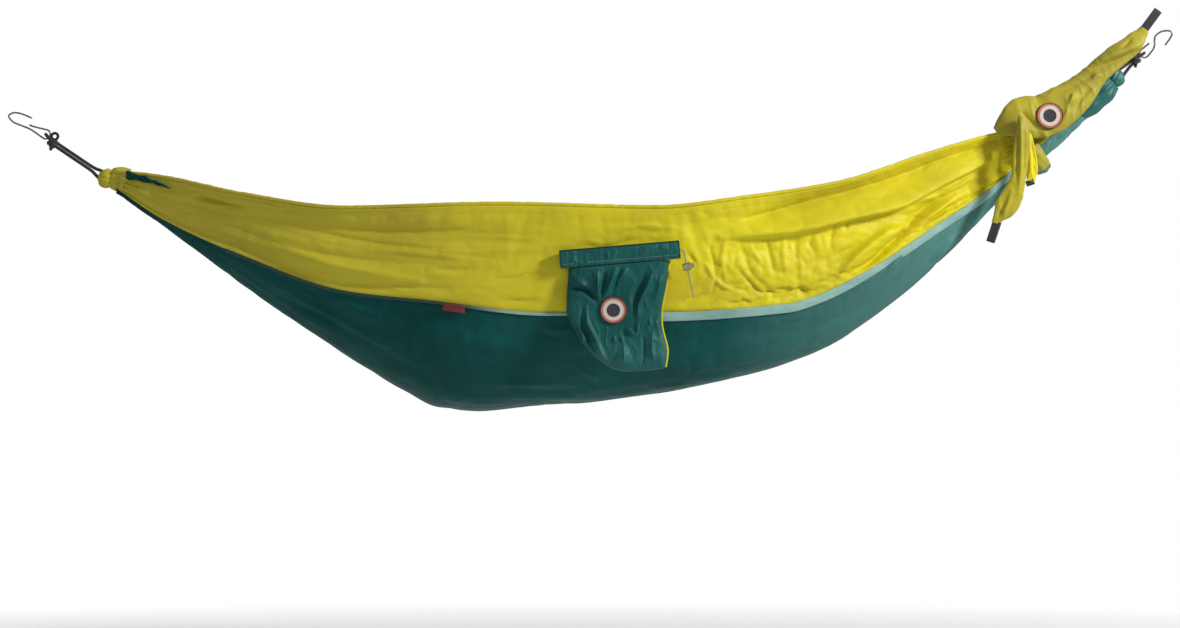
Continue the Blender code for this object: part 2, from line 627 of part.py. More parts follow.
def webbing_loop(name, ends, origin):
    """Webbing folded in two, with its fold at the far end."""
    wide, thick = WEBBING
    a, b = Vector(ends["from"]), Vector(ends["to"])
    way = (b - a).normalized()
    out = Matrix.Rotation(math.radians(ends["turn"]), 3, way) @ Vector((0, 1, 0))
    side = way.cross(out)
    length = (b - a).length
    open_half = 0.0011
    fold = [(length - 0.0035 + 0.0035 * math.cos(t), (open_half + thick / 2) * math.sin(t))
            for t in np.radians(np.linspace(90, -90, 7))]
    line = [(0, open_half + thick / 2), *fold, (0, -open_half - thick / 2)]
    outer, inner = [], []
    for k, (s, t) in enumerate(line):
        before, after = line[max(k - 1, 0)], line[min(k + 1, len(line) - 1)]
        normal = Vector((-(after[1] - before[1]), after[0] - before[0])).normalized()
        outer.append(Vector((s, t)) + normal * thick / 2)
        inner.append(Vector((s, t)) - normal * thick / 2)
    ring = [*outer, *reversed(inner)]
    count = len(ring)
    verts = [a + way * p.x + out * p.y + side * w for w in (-wide / 2, wide / 2) for p in ring]
    half = len(outer)
    caps = [(k, k + 1, count - 2 - k, count - 1 - k) for k in range(half - 1)]
    faces = [*caps, *[tuple(count + v for v in cap) for cap in caps],
             *[(k, (k + 1) % count, count + (k + 1) % count, count + k) for k in range(count)]]
    add(name, mesh_of(name, verts, faces), "webbing", origin)


def pillow():
    loft("pillow_front", PILLOW, "yellow_cloth", -1)
    loft("pillow_back", PILLOW, "green_cloth", 1)
    knot_arc("knot_band", "yellow_cloth", -25, 150)
    knot_arc("knot_underside", "green_cloth", 151, 334)
    x, z = PILLOW_PATCH
    lean = math.radians(PILLOW[2][5])
    out = Vector((0, -math.cos(lean), math.sin(lean)))
    face = Vector((x, -0.0672, z))
    rod("pillow_patch", face, face + out * PATCH_THICK, PATCH_RADIUS, "patch", 28)
    loft("short_tail", SHORT_TAIL, "yellow_cloth")
    tip_top = Vector((1.7990, -0.0690, -0.1128))
    turned_box("short_tail_tip", tip_top + Vector((-0.0010, 0, -0.0068)), (0.0150, 0.0040, 0.0100),
               math.radians(18), "webbing", 0.0008)
    top = LONG_TAIL[0]
    loft("long_tail", LONG_TAIL, "yellow_cloth", origin=(top[0], top[1], top[2]))
    webbing_loop("tail_webbing", TAIL_WEBBING, TAIL_WEBBING["from"])
    webbing_loop("top_webbing", TOP_WEBBING, TOP_WEBBING["from"])


def main():
    for piece in list(bpy.data.objects):
        bpy.data.objects.remove(piece, do_unlink=True)
    side_panel("near_side_panel", -1)
    side_panel("far_side_panel", 1)
    centre_panel()
    seam_band("near_seam_band", -1)
    seam_band("far_seam_band", 1)
    hems_and_tag()
    end_sleeve("left_end_sleeve", LEFT, "yellow_cloth")
    end_sleeve("right_end_sleeve", RIGHT, "green_cloth")
    for side, end in (("left", LEFT), ("right", RIGHT)):
        rope_loop(f"{side}_rope", end)
        rope_knot(f"{side}_rope_knot", end)
    s_hook("left_s_hook", LEFT, LEFT_HOOK, LEFT_CURL, LEFT_HOOK_END)
    s_hook("right_s_hook", RIGHT, RIGHT_HOOK, RIGHT_CURL, RIGHT_HOOK_END)
    header()
    pouch()
    cord_lock()
    pillow()


main()
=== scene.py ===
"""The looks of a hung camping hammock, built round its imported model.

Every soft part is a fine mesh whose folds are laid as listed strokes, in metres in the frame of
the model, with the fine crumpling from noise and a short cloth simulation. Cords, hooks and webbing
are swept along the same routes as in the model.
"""

import math

import bmesh
import bpy
import numpy as np
from mathutils import Matrix, Vector, noise


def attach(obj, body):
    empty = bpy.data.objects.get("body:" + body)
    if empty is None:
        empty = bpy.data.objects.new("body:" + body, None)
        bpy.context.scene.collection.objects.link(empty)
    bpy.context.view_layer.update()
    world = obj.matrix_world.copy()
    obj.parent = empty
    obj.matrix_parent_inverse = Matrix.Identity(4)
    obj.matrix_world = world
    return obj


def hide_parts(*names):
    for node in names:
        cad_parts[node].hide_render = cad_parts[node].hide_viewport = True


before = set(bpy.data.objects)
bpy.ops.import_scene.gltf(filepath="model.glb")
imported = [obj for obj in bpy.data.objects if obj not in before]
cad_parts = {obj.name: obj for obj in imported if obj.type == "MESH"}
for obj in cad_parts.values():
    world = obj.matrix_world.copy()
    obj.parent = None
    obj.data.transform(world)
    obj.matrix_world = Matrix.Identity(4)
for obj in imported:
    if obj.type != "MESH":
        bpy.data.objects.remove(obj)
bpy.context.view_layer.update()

# --- sizes shared with the model -------------------------------------------------------------

NECK = (0.189, 1.936)
HEM = [(0.186, -0.098), (0.27, -0.108), (0.42, -0.140), (0.60, -0.164), (0.86, -0.158),
       (1.14, -0.164), (1.30, -0.146), (1.46, -0.120), (1.62, -0.068), (1.73, -0.036),
       (1.79, -0.024), (1.84, 0.010), (1.94, 0.086)]
SEAM = [(0.186, -0.126), (0.27, -0.182), (0.42, -0.250), (0.60, -0.312), (0.75, -0.329),
        (0.95, -0.350), (1.15, -0.349), (1.37, -0.334), (1.42, -0.320), (1.53, -0.264),
        (1.63, -0.198), (1.74, -0.123), (1.79, -0.078), (1.84, -0.034), (1.94, 0.054)]
KEEL = [(0.186, -0.133), (0.27, -0.190), (0.42, -0.300), (0.60, -0.423), (0.70, -0.484),
        (0.76, -0.512), (0.83, -0.518), (0.90, -0.511), (1.05, -0.500), (1.26, -0.465),
        (1.42, -0.417), (1.53, -0.350), (1.63, -0.266), (1.74, -0.155), (1.79, -0.099),
        (1.84, -0.060), (1.94, 0.034)]
WIDTH = [(0.186, 0.013), (0.27, 0.040), (0.42, 0.095), (0.60, 0.145), (0.80, 0.178),
         (1.00, 0.188), (1.20, 0.178), (1.40, 0.142), (1.55, 0.098), (1.65, 0.062),
         (1.72, 0.040), (1.79, 0.029), (1.86, 0.025), (1.94, 0.013)]
FULLNESS = 0.3
HEM_RADIUS = 0.0024

ROPE = 0.006
WIRE = 0.0032
EYE_RADIUS = 0.0082
KNOT_DISTANCE = 0.0187
KNOT_RADIUS = 0.0085
LEFT = {"post": (0.168, -0.1085), "eye": (0.0639, -0.0324), "knot_towards": (0.648, -0.761),
        "bulb": (0.1715, -0.1105)}
RIGHT = {"post": (1.9565, 0.0700), "eye": (2.0048, 0.1111), "knot_towards": (-0.828, -0.561),
         "bulb": (1.9539, 0.0676)}
LEFT_HOOK = [(0.0385, -0.0035), (0.0280, 0.0012), (0.0172, 0.0047), (0.0079, 0.0056),
             (0.0018, 0.0035), (-0.0016, 0.0), (0.0018, -0.0063), (0.0084, -0.0119),
             (0.0228, -0.0177), (0.0359, -0.0231), (0.0481, -0.0312)]
LEFT_CURL = (235.7, 438.7)
LEFT_HOOK_END = [(0.0525, -0.0214), (0.0420, -0.0186), (0.0359, -0.0163)]
RIGHT_HOOK = [(2.0423, 0.1260), (2.0493, 0.1356), (2.0541, 0.1447), (2.0514, 0.1494),
              (2.0440, 0.1505), (2.0346, 0.1488), (2.0256, 0.1426), (2.0230, 0.1356),
              (2.0230, 0.1253), (2.0204, 0.1164)]
RIGHT_CURL = (-42.0, -233.1)
RIGHT_HOOK_END = [(2.0040, 0.1207), (2.0089, 0.1246), (2.0132, 0.1279)]

POUCH_BACK = -0.1885
POUCH_FRONT = -0.2031
HEADER_MIDDLE = (1.0770, -0.2473)
HEADER_LENGTH, HEADER_HEIGHT = 0.209, 0.031
HEADER_TILT = math.radians(4.8)
HEADER_Y = -0.1958
DRAWSTRING = 0.0026
CORD_FRONT = POUCH_FRONT + 0.0024
LOCK = (1.1935, -0.2678)
TAIL_END = (1.2058, -0.3200)
TAIL_BEND = [(1.1868, -0.2402), (1.1899, -0.2465)]
PATCH_RADIUS = 0.0235
WEBBING_WIDTH = 0.015
CLOTH_THICKNESS = 0.0008
POUCH_PATCH = (1.0661, -0.3435)
PILLOW_PATCH = (1.8329, -0.0018)

# --- folds, as (height, reach on the left of the line, reach on its right, points) ------------
# Heights and reaches are in metres. Lines that run towards +X have their upper side on the left.

NEAR_FOLDS = [
    # from the left gather
    (-0.0030, 0.004, 0.004, [(0.198, -0.1295), (0.257, -0.1365), (0.318, -0.147)]),
    (0.0045, 0.004, 0.004, [(0.329, -0.1435), (0.375, -0.155), (0.422, -0.1645)]),
    (-0.0030, 0.004, 0.003, [(0.325, -0.149), (0.355, -0.157), (0.387, -0.161)]),
    (-0.0025, 0.003, 0.003, [(0.383, -0.1453), (0.440, -0.155), (0.494, -0.1645)]),
    (0.0090, 0.030, 0.050, [(0.220, -0.135), (0.448, -0.185), (0.693, -0.212), (0.903, -0.210)]),
    (-0.0045, 0.008, 0.014, [(0.430, -0.2065), (0.570, -0.259), (0.728, -0.2905)]),
    (0.0030, 0.007, 0.007, [(0.343, -0.1768), (0.518, -0.238), (0.658, -0.259)]),
    (0.0028, 0.004, 0.006, [(0.560, -0.196), (0.700, -0.205), (0.830, -0.202)]),
    (0.0030, 0.004, 0.004, [(0.8645, -0.2905), (0.905, -0.283), (0.9415, -0.2748)]),
    (0.0022, 0.003, 0.004, [(0.8715, -0.327), (0.905, -0.326), (0.936, -0.3255)]),
    (0.0022, 0.004, 0.006, [(0.754, -0.271), (0.790, -0.272), (0.819, -0.271)]),
    (0.0025, 0.005, 0.009, [(0.600, -0.300), (0.690, -0.302), (0.780, -0.305)]),
    (-0.0025, 0.004, 0.008, [(0.700, -0.236), (0.830, -0.240), (0.950, -0.233)]),
    (-0.0024, 0.003, 0.005, [(0.640, -0.236), (0.760, -0.247), (0.869, -0.260)]),
    (-0.0018, 0.002, 0.003, [(0.711, -0.229), (0.780, -0.231), (0.845, -0.2315)]),
    (-0.0018, 0.002, 0.003, [(0.796, -0.2132), (0.870, -0.216), (0.942, -0.221)]),
    (0.0022, 0.005, 0.005, [(0.480, -0.190), (0.620, -0.222), (0.760, -0.238)]),
    # round the pouch
    (0.0022, 0.003, 0.004, [(1.010, -0.226), (1.050, -0.234), (1.108, -0.217)]),
    (-0.0022, 0.003, 0.004, [(1.060, -0.205), (1.120, -0.196), (1.190, -0.203)]),
    (0.0024, 0.004, 0.003, [(1.197, -0.3255), (1.215, -0.318), (1.232, -0.3133)]),
    # the upper band that hangs over, and the shadow under it
    (0.0125, 0.018, 0.020, [(1.211, -0.214), (1.301, -0.184), (1.408, -0.151), (1.492, -0.130),
                            (1.576, -0.103), (1.659, -0.0705), (1.767, -0.035)]),
    (0.0030, 0.004, 0.004, [(1.301, -0.184), (1.408, -0.151), (1.492, -0.130), (1.576, -0.103),
                            (1.659, -0.0705), (1.740, -0.043)]),
    (0.0035, 0.008, 0.010, [(1.183, -0.196), (1.240, -0.184), (1.293, -0.170)]),
    (0.0028, 0.005, 0.006, [(1.280, -0.186), (1.340, -0.170), (1.420, -0.148)]),
    (-0.0115, 0.024, 0.006, [(1.253, -0.214), (1.390, -0.199), (1.474, -0.178), (1.534, -0.166),
                             (1.582, -0.151), (1.629, -0.124), (1.695, -0.0914), (1.755, -0.0616)]),
    (0.0075, 0.004, 0.034, [(1.253, -0.220), (1.390, -0.205), (1.474, -0.184), (1.534, -0.172),
                            (1.582, -0.157), (1.629, -0.130), (1.695, -0.097), (1.755, -0.067)]),
    (-0.0115, 0.014, 0.005, [(1.576, -0.193), (1.540, -0.202), (1.480, -0.250), (1.462, -0.280)]),
    (0.0100, 0.005, 0.012, [(1.641, -0.142), (1.600, -0.178), (1.564, -0.220), (1.492, -0.2855)]),
    (-0.0065, 0.006, 0.006, [(1.6695, -0.138), (1.6205, -0.173), (1.5873, -0.201)]),
    (0.0045, 0.004, 0.005, [(1.673, -0.1488), (1.640, -0.172), (1.600, -0.197)]),
    (-0.0045, 0.005, 0.005, [(1.533, -0.2135), (1.552, -0.205), (1.5715, -0.194)]),
    (-0.0030, 0.003, 0.003, [(1.600, -0.150), (1.650, -0.133), (1.700, -0.104)]),
    # crumples under it
    (0.0030, 0.004, 0.004, [(1.288, -0.2188), (1.3055, -0.273), (1.3405, -0.3098), (1.3405, -0.331)]),
    (-0.0026, 0.003, 0.003, [(1.3055, -0.2258), (1.316, -0.246), (1.328, -0.2625)]),
    (0.0028, 0.004, 0.003, [(1.3335, -0.2135), (1.342, -0.250), (1.3475, -0.2818)]),
    (-0.0026, 0.003, 0.004, [(1.2618, -0.2205), (1.2565, -0.262), (1.267, -0.2993)]),
    (0.0026, 0.003, 0.004, [(1.1935, -0.2433), (1.203, -0.252), (1.2093, -0.2625)]),
    (0.0034, 0.003, 0.004, [(1.281, -0.266), (1.3178, -0.3063), (1.344, -0.3115)]),
    (0.0030, 0.004, 0.005, [(1.3878, -0.2065), (1.386, -0.259), (1.3913, -0.2993)]),
    (0.0055, 0.007, 0.008, [(1.393, -0.2993), (1.398, -0.309), (1.4035, -0.3185)]),
    (0.0030, 0.004, 0.003, [(1.456, -0.189), (1.4455, -0.2205), (1.449, -0.238)]),
    (0.0026, 0.003, 0.003, [(1.4805, -0.1838), (1.476, -0.193), (1.4735, -0.1995)]),
    (0.0042, 0.010, 0.014, [(1.407, -0.259), (1.4718, -0.238), (1.533, -0.2065)]),
    (0.0022, 0.003, 0.003, [(1.3475, -0.3045), (1.362, -0.304), (1.3755, -0.3028)]),
    (-0.0026, 0.003, 0.003, [(1.366, -0.212), (1.364, -0.250), (1.371, -0.291)]),
    (0.0024, 0.003, 0.003, [(1.235, -0.232), (1.244, -0.276), (1.236, -0.318)]),
    (-0.0024, 0.003, 0.003, [(1.228, -0.262), (1.247, -0.292), (1.282, -0.311)]),
    (0.0024, 0.003, 0.003, [(1.415, -0.207), (1.411, -0.226), (1.419, -0.243)]),
    (0.0022, 0.003, 0.003, [(1.282, -0.318), (1.296, -0.326), (1.304, -0.334)]),
]

CENTRE_FOLDS = [
    (-0.0045, 0.006, 0.012, [(0.658, -0.3518), (0.7788, -0.3815), (0.8855, -0.406), (0.9258, -0.4113)]),
    (-0.0032, 0.005, 0.006, [(0.9363, -0.371), (0.968, -0.376), (0.9923, -0.3728)]),
    (0.0024, 0.004, 0.005, [(0.938, -0.383), (0.960, -0.388), (0.975, -0.388)]),
    (-0.0034, 0.005, 0.007, [(0.819, -0.462), (0.890, -0.470), (0.966, -0.4725)]),
    (0.0028, 0.006, 0.008, [(0.870, -0.479), (0.960, -0.484), (1.040, -0.476)]),
    (-0.0042, 0.006, 0.009, [(0.5443, -0.2993), (0.620, -0.340), (0.693, -0.364)]),
    (-0.0034, 0.006, 0.010, [(0.413, -0.262), (0.5705, -0.350), (0.7455, -0.4393)]),
    (0.0030, 0.008, 0.010, [(0.480, -0.310), (0.610, -0.385), (0.740, -0.455)]),
    (-0.0052, 0.005, 0.006, [(1.568, -0.2485), (1.526, -0.2818), (1.477, -0.3185)]),
    (-0.0044, 0.005, 0.006, [(1.666, -0.2118), (1.648, -0.232), (1.629, -0.252)]),
    (-0.0050, 0.005, 0.006, [(1.5838, -0.2328), (1.562, -0.256), (1.5418, -0.2765)]),
    (0.0034, 0.006, 0.008, [(1.590, -0.262), (1.530, -0.318), (1.440, -0.372)]),
    (-0.0030, 0.005, 0.008, [(1.420, -0.338), (1.330, -0.372), (1.230, -0.392)]),
    (0.0028, 0.007, 0.009, [(1.470, -0.352), (1.360, -0.398), (1.240, -0.424)]),
    (0.0026, 0.004, 0.004, [(1.020, -0.462), (1.032, -0.476), (1.036, -0.492)]),
    (-0.0024, 0.003, 0.004, [(1.000, -0.440), (1.018, -0.452), (1.050, -0.462)]),
    (-0.0030, 0.006, 0.006, [(1.700, -0.160), (1.740, -0.134), (1.790, -0.092)]),
]

POUCH_FOLDS = [
    (0.0042, 0.006, 0.006, [(1.0385, -0.2732), (1.0395, -0.3092), (1.0423, -0.3263)]),
    (-0.0034, 0.003, 0.003, [(1.0518, -0.2732), (1.048, -0.299), (1.0442, -0.3244)]),
    (0.0042, 0.006, 0.005, [(1.0689, -0.2751), (1.0594, -0.3017), (1.048, -0.3244)]),
    (-0.0030, 0.004, 0.004, [(1.0800, -0.2700), (1.0700, -0.2950), (1.0610, -0.3150)]),
    (0.0026, 0.006, 0.006, [(1.0898, -0.2694), (1.084, -0.278), (1.0784, -0.2865)]),
    (-0.0055, 0.004, 0.004, [(0.993, -0.3054), (1.0196, -0.3111), (1.0367, -0.3263)]),
    (0.0034, 0.006, 0.004, [(0.999, -0.2880), (1.009, -0.297), (1.0196, -0.3017)]),
    (0.0040, 0.0032, 0.0032, [(1.0196, -0.3396), (1.0215, -0.3662), (1.0329, -0.3889),
                              (1.0442, -0.4155), (1.0594, -0.4401)]),
    (-0.0034, 0.004, 0.004, [(1.0120, -0.3420), (1.0140, -0.3700), (1.0230, -0.3930), (1.0360, -0.4200)]),
    (0.0034, 0.003, 0.003, [(1.0139, -0.3889), (1.0145, -0.4041), (1.0367, -0.425)]),
    (-0.0045, 0.007, 0.007, [(1.1201, -0.2789), (1.105, -0.3263), (1.1012, -0.3472)]),
    (0.0045, 0.006, 0.006, [(1.1353, -0.2789), (1.1201, -0.3092), (1.1088, -0.3339), (1.1088, -0.3605)]),
    (0.0022, 0.002, 0.002, [(1.1287, -0.3586), (1.1290, -0.3640), (1.1296, -0.370)]),
    (0.0022, 0.002, 0.002, [(1.1410, -0.3624), (1.1420, -0.371), (1.1429, -0.3794)]),
    (0.0030, 0.0028, 0.0028, [(1.0879, -0.3756), (1.0970, -0.3820), (1.105, -0.387)]),
    (0.0026, 0.0026, 0.0026, [(1.1050, -0.3870), (1.1075, -0.377), (1.1088, -0.3681)]),
    (0.0026, 0.003, 0.003, [(1.1334, -0.3832), (1.1330, -0.408), (1.1353, -0.4307)]),
    (0.0018, 0.002, 0.002, [(1.067, -0.3880), (1.0675, -0.393), (1.068, -0.3985)]),
    (0.0018, 0.002, 0.002, [(1.0803, -0.3880), (1.0805, -0.393), (1.081, -0.3985)]),
    (0.0045, 0.018, 0.018, [(1.070, -0.4180), (1.083, -0.4230), (1.096, -0.4180)]),
    (-0.0026, 0.003, 0.003, [(1.1180, -0.3900), (1.1190, -0.4120), (1.1170, -0.4350)]),
    (0.0020, 0.002, 0.002, [(1.0840, -0.4080), (1.0850, -0.4200), (1.0835, -0.4330)]),
    (0.0030, 0.005, 0.006, [(1.1500, -0.2800), (1.1460, -0.3050), (1.1380, -0.3280)]),
]

HEADER_FOLDS = [
    (0.0016, 0.003, 0.003, [(0.990, -0.256), (1.010, -0.262), (1.030, -0.255)]),
    (-0.0016, 0.002, 0.002, [(1.000, -0.249), (1.020, -0.243), (1.036, -0.251)]),
    (0.0018, 0.003, 0.003, [(1.052, -0.243), (1.062, -0.252), (1.072, -0.240)]),
    (-0.0016, 0.002, 0.002, [(1.070, -0.254), (1.090, -0.243), (1.108, -0.240)]),
    (0.0018, 0.003, 0.002, [(1.108, -0.249), (1.122, -0.238), (1.140, -0.234)]),
    (-0.0014, 0.002, 0.002, [(1.130, -0.247), (1.146, -0.238), (1.160, -0.243)]),
    (0.0014, 0.002, 0.003, [(1.150, -0.234), (1.162, -0.240), (1.172, -0.236)]),
]

PILLOW_FOLDS = [
    (0.0050, 0.012, 0.004, [(1.9200, 0.0930), (1.9450, 0.1020), (1.9700, 0.1130), (1.9950, 0.1260)]),
    (-0.0045, 0.005, 0.010, [(1.9100, 0.0800), (1.9330, 0.0905), (1.9600, 0.1010), (1.9850, 0.1120)]),
    (-0.0022, 0.003, 0.005, [(1.9620, 0.1170), (1.9730, 0.1280), (1.9780, 0.1340)]),
    (0.0030, 0.004, 0.004, [(1.9080, 0.0640), (1.9160, 0.0700), (1.9230, 0.0690)]),
    (0.0036, 0.004, 0.006, [(1.8660, 0.0180), (1.8720, 0.0280), (1.8760, 0.0380)]),
    (-0.0026, 0.004, 0.004, [(1.8800, 0.0120), (1.8900, 0.0300), (1.9060, 0.0470)]),
    (0.0030, 0.004, 0.004, [(1.8560, -0.0080), (1.8620, 0.0020), (1.8640, 0.0110)]),
    (-0.0030, 0.005, 0.005, [(1.7800, 0.0040), (1.7880, 0.0000), (1.8000, -0.0140), (1.8100, -0.0260)]),
    (-0.0016, 0.006, 0.006, [(1.8500, 0.0400), (1.8900, 0.0590), (1.9200, 0.0760)]),
    (0.0030, 0.005, 0.004, [(1.8180, -0.0300), (1.8280, -0.0400), (1.8300, -0.0560)]),
]

LONG_TAIL_FOLDS = [
    (0.0030, 0.005, 0.004, [(1.7800, 0.0000), (1.7810, -0.0500), (1.7800, -0.1000), (1.7760, -0.1380)]),
    (-0.0022, 0.003, 0.003, [(1.7750, -0.0250), (1.7745, -0.0700), (1.7720, -0.1150)]),
    (-0.0020, 0.003, 0.003, [(1.7870, -0.0300), (1.7865, -0.0700), (1.7850, -0.1000)]),
    (0.0024, 0.004, 0.004, [(1.7650, -0.1350), (1.7580, -0.1560), (1.7500, -0.1760)]),
    (-0.0020, 0.003, 0.003, [(1.7560, -0.1500), (1.7470, -0.1650), (1.7410, -0.1800)]),
]

SHORT_TAIL_FOLDS = [
    (0.0008, 0.003, 0.003, [(1.7965, -0.0300), (1.7990, -0.0650), (1.8010, -0.1050)]),
    (-0.0024, 0.002, 0.002, [(1.8000, -0.0450), (1.8035, -0.0750), (1.8050, -0.1050)]),
    (-0.0014, 0.002, 0.002, [(1.8040, -0.0560), (1.8080, -0.0860), (1.8080, -0.1080)]),
]


# --- curves and meshes -----------------------------------------------------------------------


def through(points):
    """A smooth y(x) through the points that doesn't overshoot them (a monotone cubic)."""
    x, y = np.array(points, float).T
    rise = np.diff(y) / np.diff(x)
    slope = np.concatenate([rise[:1], np.zeros(len(x) - 2), rise[-1:]])
    same = rise[:-1] * rise[1:] > 0
    slope[1:-1] = np.where(same, 2 * rise[:-1] * rise[1:] / np.where(same, rise[:-1] + rise[1:], 1), 0)

    def value(at):
        at = np.asarray(at, float)
        k = np.clip(np.searchsorted(x, at) - 1, 0, len(x) - 2)
        h = x[k + 1] - x[k]
        t = (at - x[k]) / h
        return ((2 * t**3 - 3 * t**2 + 1) * y[k] + (t**3 - 2 * t**2 + t) * h * slope[k]
                + (3 * t**2 - 2 * t**3) * y[k + 1] + (t**3 - t**2) * h * slope[k + 1])

    return value


def route(points, steps=6):
    """Points along a Catmull-Rom curve through the given ones."""
    p = np.array(points, float)
    p = np.vstack([2 * p[0] - p[1], p, 2 * p[-1] - p[-2]])
    made = []
    for a, b, c, d in zip(p, p[1:], p[2:], p[3:]):
        for t in np.arange(steps) / steps:
            made.append(0.5 * (2 * b + (c - a) * t + (2 * a - 5 * b + 4 * c - d) * t**2
                               + (3 * b - a - 3 * c + d) * t**3))
    return [*made, p[-2]]


def spaced(line, count):
    """count points evenly spaced along a line of points."""
    line = np.asarray(line, float)
    run = np.concatenate([[0], np.cumsum(np.linalg.norm(np.diff(line, axis=0), axis=1))])
    at = np.linspace(0, run[-1], count)
    return np.stack([np.interp(at, run, line[:, k]) for k in range(line.shape[1])], -1)


def even(points, count):
    """count points evenly spaced along a smooth curve through the given ones."""
    return spaced(route(points, 12), count)


def flat(points, y=0.0):
    """(x, z) points as 3-D ones at one y."""
    return [(x, y, z) for x, z in points]


FOLD_GAIN, FOLD_POWER = 1.75, 1.35  # how high and how round-shouldered the folds are


def relief(x, z, strokes):
    """How far the folds lift a surface at each (x, z)."""
    lift = np.zeros_like(x)
    for height, left, right, points in strokes:
        line = even(points, 14)
        reach = 3 * max(left, right)
        near = ((x > line[:, 0].min() - reach) & (x < line[:, 0].max() + reach)
                & (z > line[:, 1].min() - reach) & (z < line[:, 1].max() + reach))
        if not near.any():
            continue
        spots = np.stack([x[near], z[near]], -1)
        a, b = line[:-1], line[1:]
        way = b - a
        offset = spots[:, None] - a[None]
        t = np.clip((offset * way).sum(-1) / (way**2).sum(-1), 0, 1)
        miss = offset - t[..., None] * way
        distance = np.linalg.norm(miss, axis=-1)
        k = distance.argmin(axis=1)
        rows = np.arange(len(k))
        side = way[k, 0] * miss[rows, k, 1] - way[k, 1] * miss[rows, k, 0]
        along = (k + t[rows, k]) / len(way)
        fade = np.sin(math.pi * np.clip(along, 0.03, 0.97)) ** 0.5
        reaches = np.where(side > 0, left, right)
        lift[near] += FOLD_GAIN * height * fade * np.exp(-(distance[rows, k] / reaches) ** FOLD_POWER)
    return lift


def rough(x, s, scale_x, scale_s, seed):
    """Soft noise from -1 to 1, stretched by its two scales (in waves per metre)."""
    spots = np.stack([x.ravel() * scale_x, s.ravel() * scale_s], -1)
    return np.array([noise.noise((a, b, seed)) for a, b in spots]).reshape(x.shape)


def creased(x, s, scale_x, scale_s, seed):
    """Noise with sharp ridges, as in crumpled thin cloth, from 0 to about 1."""
    ridges = 1 - np.abs(rough(x, s, scale_x, scale_s, seed)) * 2
    return np.clip(ridges, 0, 1) ** 2


def rising(value, start, span):
    """From 0 to 1 over a span that begins at start."""
    return np.clip((value - start) / span, 0, 1)


def falling(value, stop, span):
    """From 1 to 0 over a span that ends at stop."""
    return np.clip((stop - value) / span, 0, 1)


def circle(count):
    """Angles evenly round a circle."""
    return np.arange(count) * 2 * math.pi / count


def pleated(angle, power=0.7):
    """Rounded pleats with sharp valleys, from 0 to 1."""
    return np.abs(np.sin(angle)) ** power


def squared_off(wave, power):
    """A sine or cosine with its crests broadened."""
    return np.sign(wave) * np.abs(wave) ** power


def normals_of(grid):
    """Unit normals of a (rows, columns, 3) grid of points."""
    along, across = np.gradient(grid, axis=0), np.gradient(grid, axis=1)
    out = np.cross(along, across)
    return out / np.maximum(np.linalg.norm(out, axis=-1, keepdims=True), 1e-12)


def adopt(piece, replaces=(), body="hammock"):
    """Gives a finished piece its body, and hides the model's nodes that it stands for."""
    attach(piece, body)
    if replaces:
        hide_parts(*replaces)
    return piece


def quads(index):
    """The four corners of each face of a grid of point numbers."""
    return np.stack([index[:-1, :-1], index[:-1, 1:], index[1:, 1:], index[1:, :-1]], -1).reshape(-1, 4)


def grid_mesh(name, grid, flip=False, wrap=False):
    """A mesh with a UV map in metres from a (rows, columns, 3) grid; wrap joins the last column to
    the first."""
    n, m = grid.shape[:2]
    index = np.arange(n * m).reshape(n, m)
    if wrap:
        index = np.concatenate([index, index[:, :1]], axis=1)
    faces = quads(index)
    closed = np.concatenate([grid, grid[:, :1]], axis=1) if wrap else grid
    u = np.cumsum(np.linalg.norm(np.diff(closed, axis=0, prepend=closed[:1]), axis=-1), axis=0)
    v = np.cumsum(np.linalg.norm(np.diff(closed, axis=1, prepend=closed[:, :1]), axis=-1), axis=1)
    u = np.broadcast_to(u.mean(axis=1, keepdims=True), u.shape)
    corners = quads(np.arange(closed.shape[0] * closed.shape[1]).reshape(closed.shape[:2]))
    if flip:
        faces, corners = faces[:, ::-1], corners[:, ::-1]
    mesh = bpy.data.meshes.new(name)
    mesh.from_pydata(grid.reshape(-1, 3).tolist(), [], faces.tolist())
    layer = mesh.uv_layers.new(name="cloth")
    flat_uv = np.stack([u.ravel()[corners.ravel()], v.ravel()[corners.ravel()]], -1)
    layer.data.foreach_set("uv", flat_uv.astype(np.float32).ravel())
    mesh.shade_smooth()
    return mesh


def linked(name, mesh, *materials):
    piece = bpy.data.objects.new(name, mesh)
    bpy.context.scene.collection.objects.link(piece)
    for material in materials:
        mesh.materials.append(material)
    return piece


def from_bmesh(name, work, *materials):
    mesh = bpy.data.meshes.new(name)
    work.to_mesh(mesh)
    work.free()
    return linked(name, mesh, *materials)


def thicken(piece, thickness, offset=-1.0):
    skin = piece.modifiers.new("thickness", "SOLIDIFY")
    skin.thickness = thickness
    skin.offset = offset
    return piece


def cloth_piece(name, grid, material, thickness, flip=False, offset=-1.0):
    """A sheet from a grid of points."""
    return thicken(linked(name, grid_mesh(name, grid, flip), material), thickness, offset)


def closed_form(name, grid, material):
    """A solid from rings of points, with flat ends."""
    mesh = grid_mesh(name, grid, wrap=True)
    sides = grid.shape[1]
    work = bmesh.new()
    work.from_mesh(mesh)
    work.verts.ensure_lookup_table()
    for ring in (range(sides), range(len(work.verts) - sides, len(work.verts))):
        work.faces.new([work.verts[k] for k in ring])
    bmesh.ops.recalc_face_normals(work, faces=work.faces)
    work.to_mesh(mesh)
    work.free()
    mesh.shade_smooth()
    return linked(name, mesh, material)


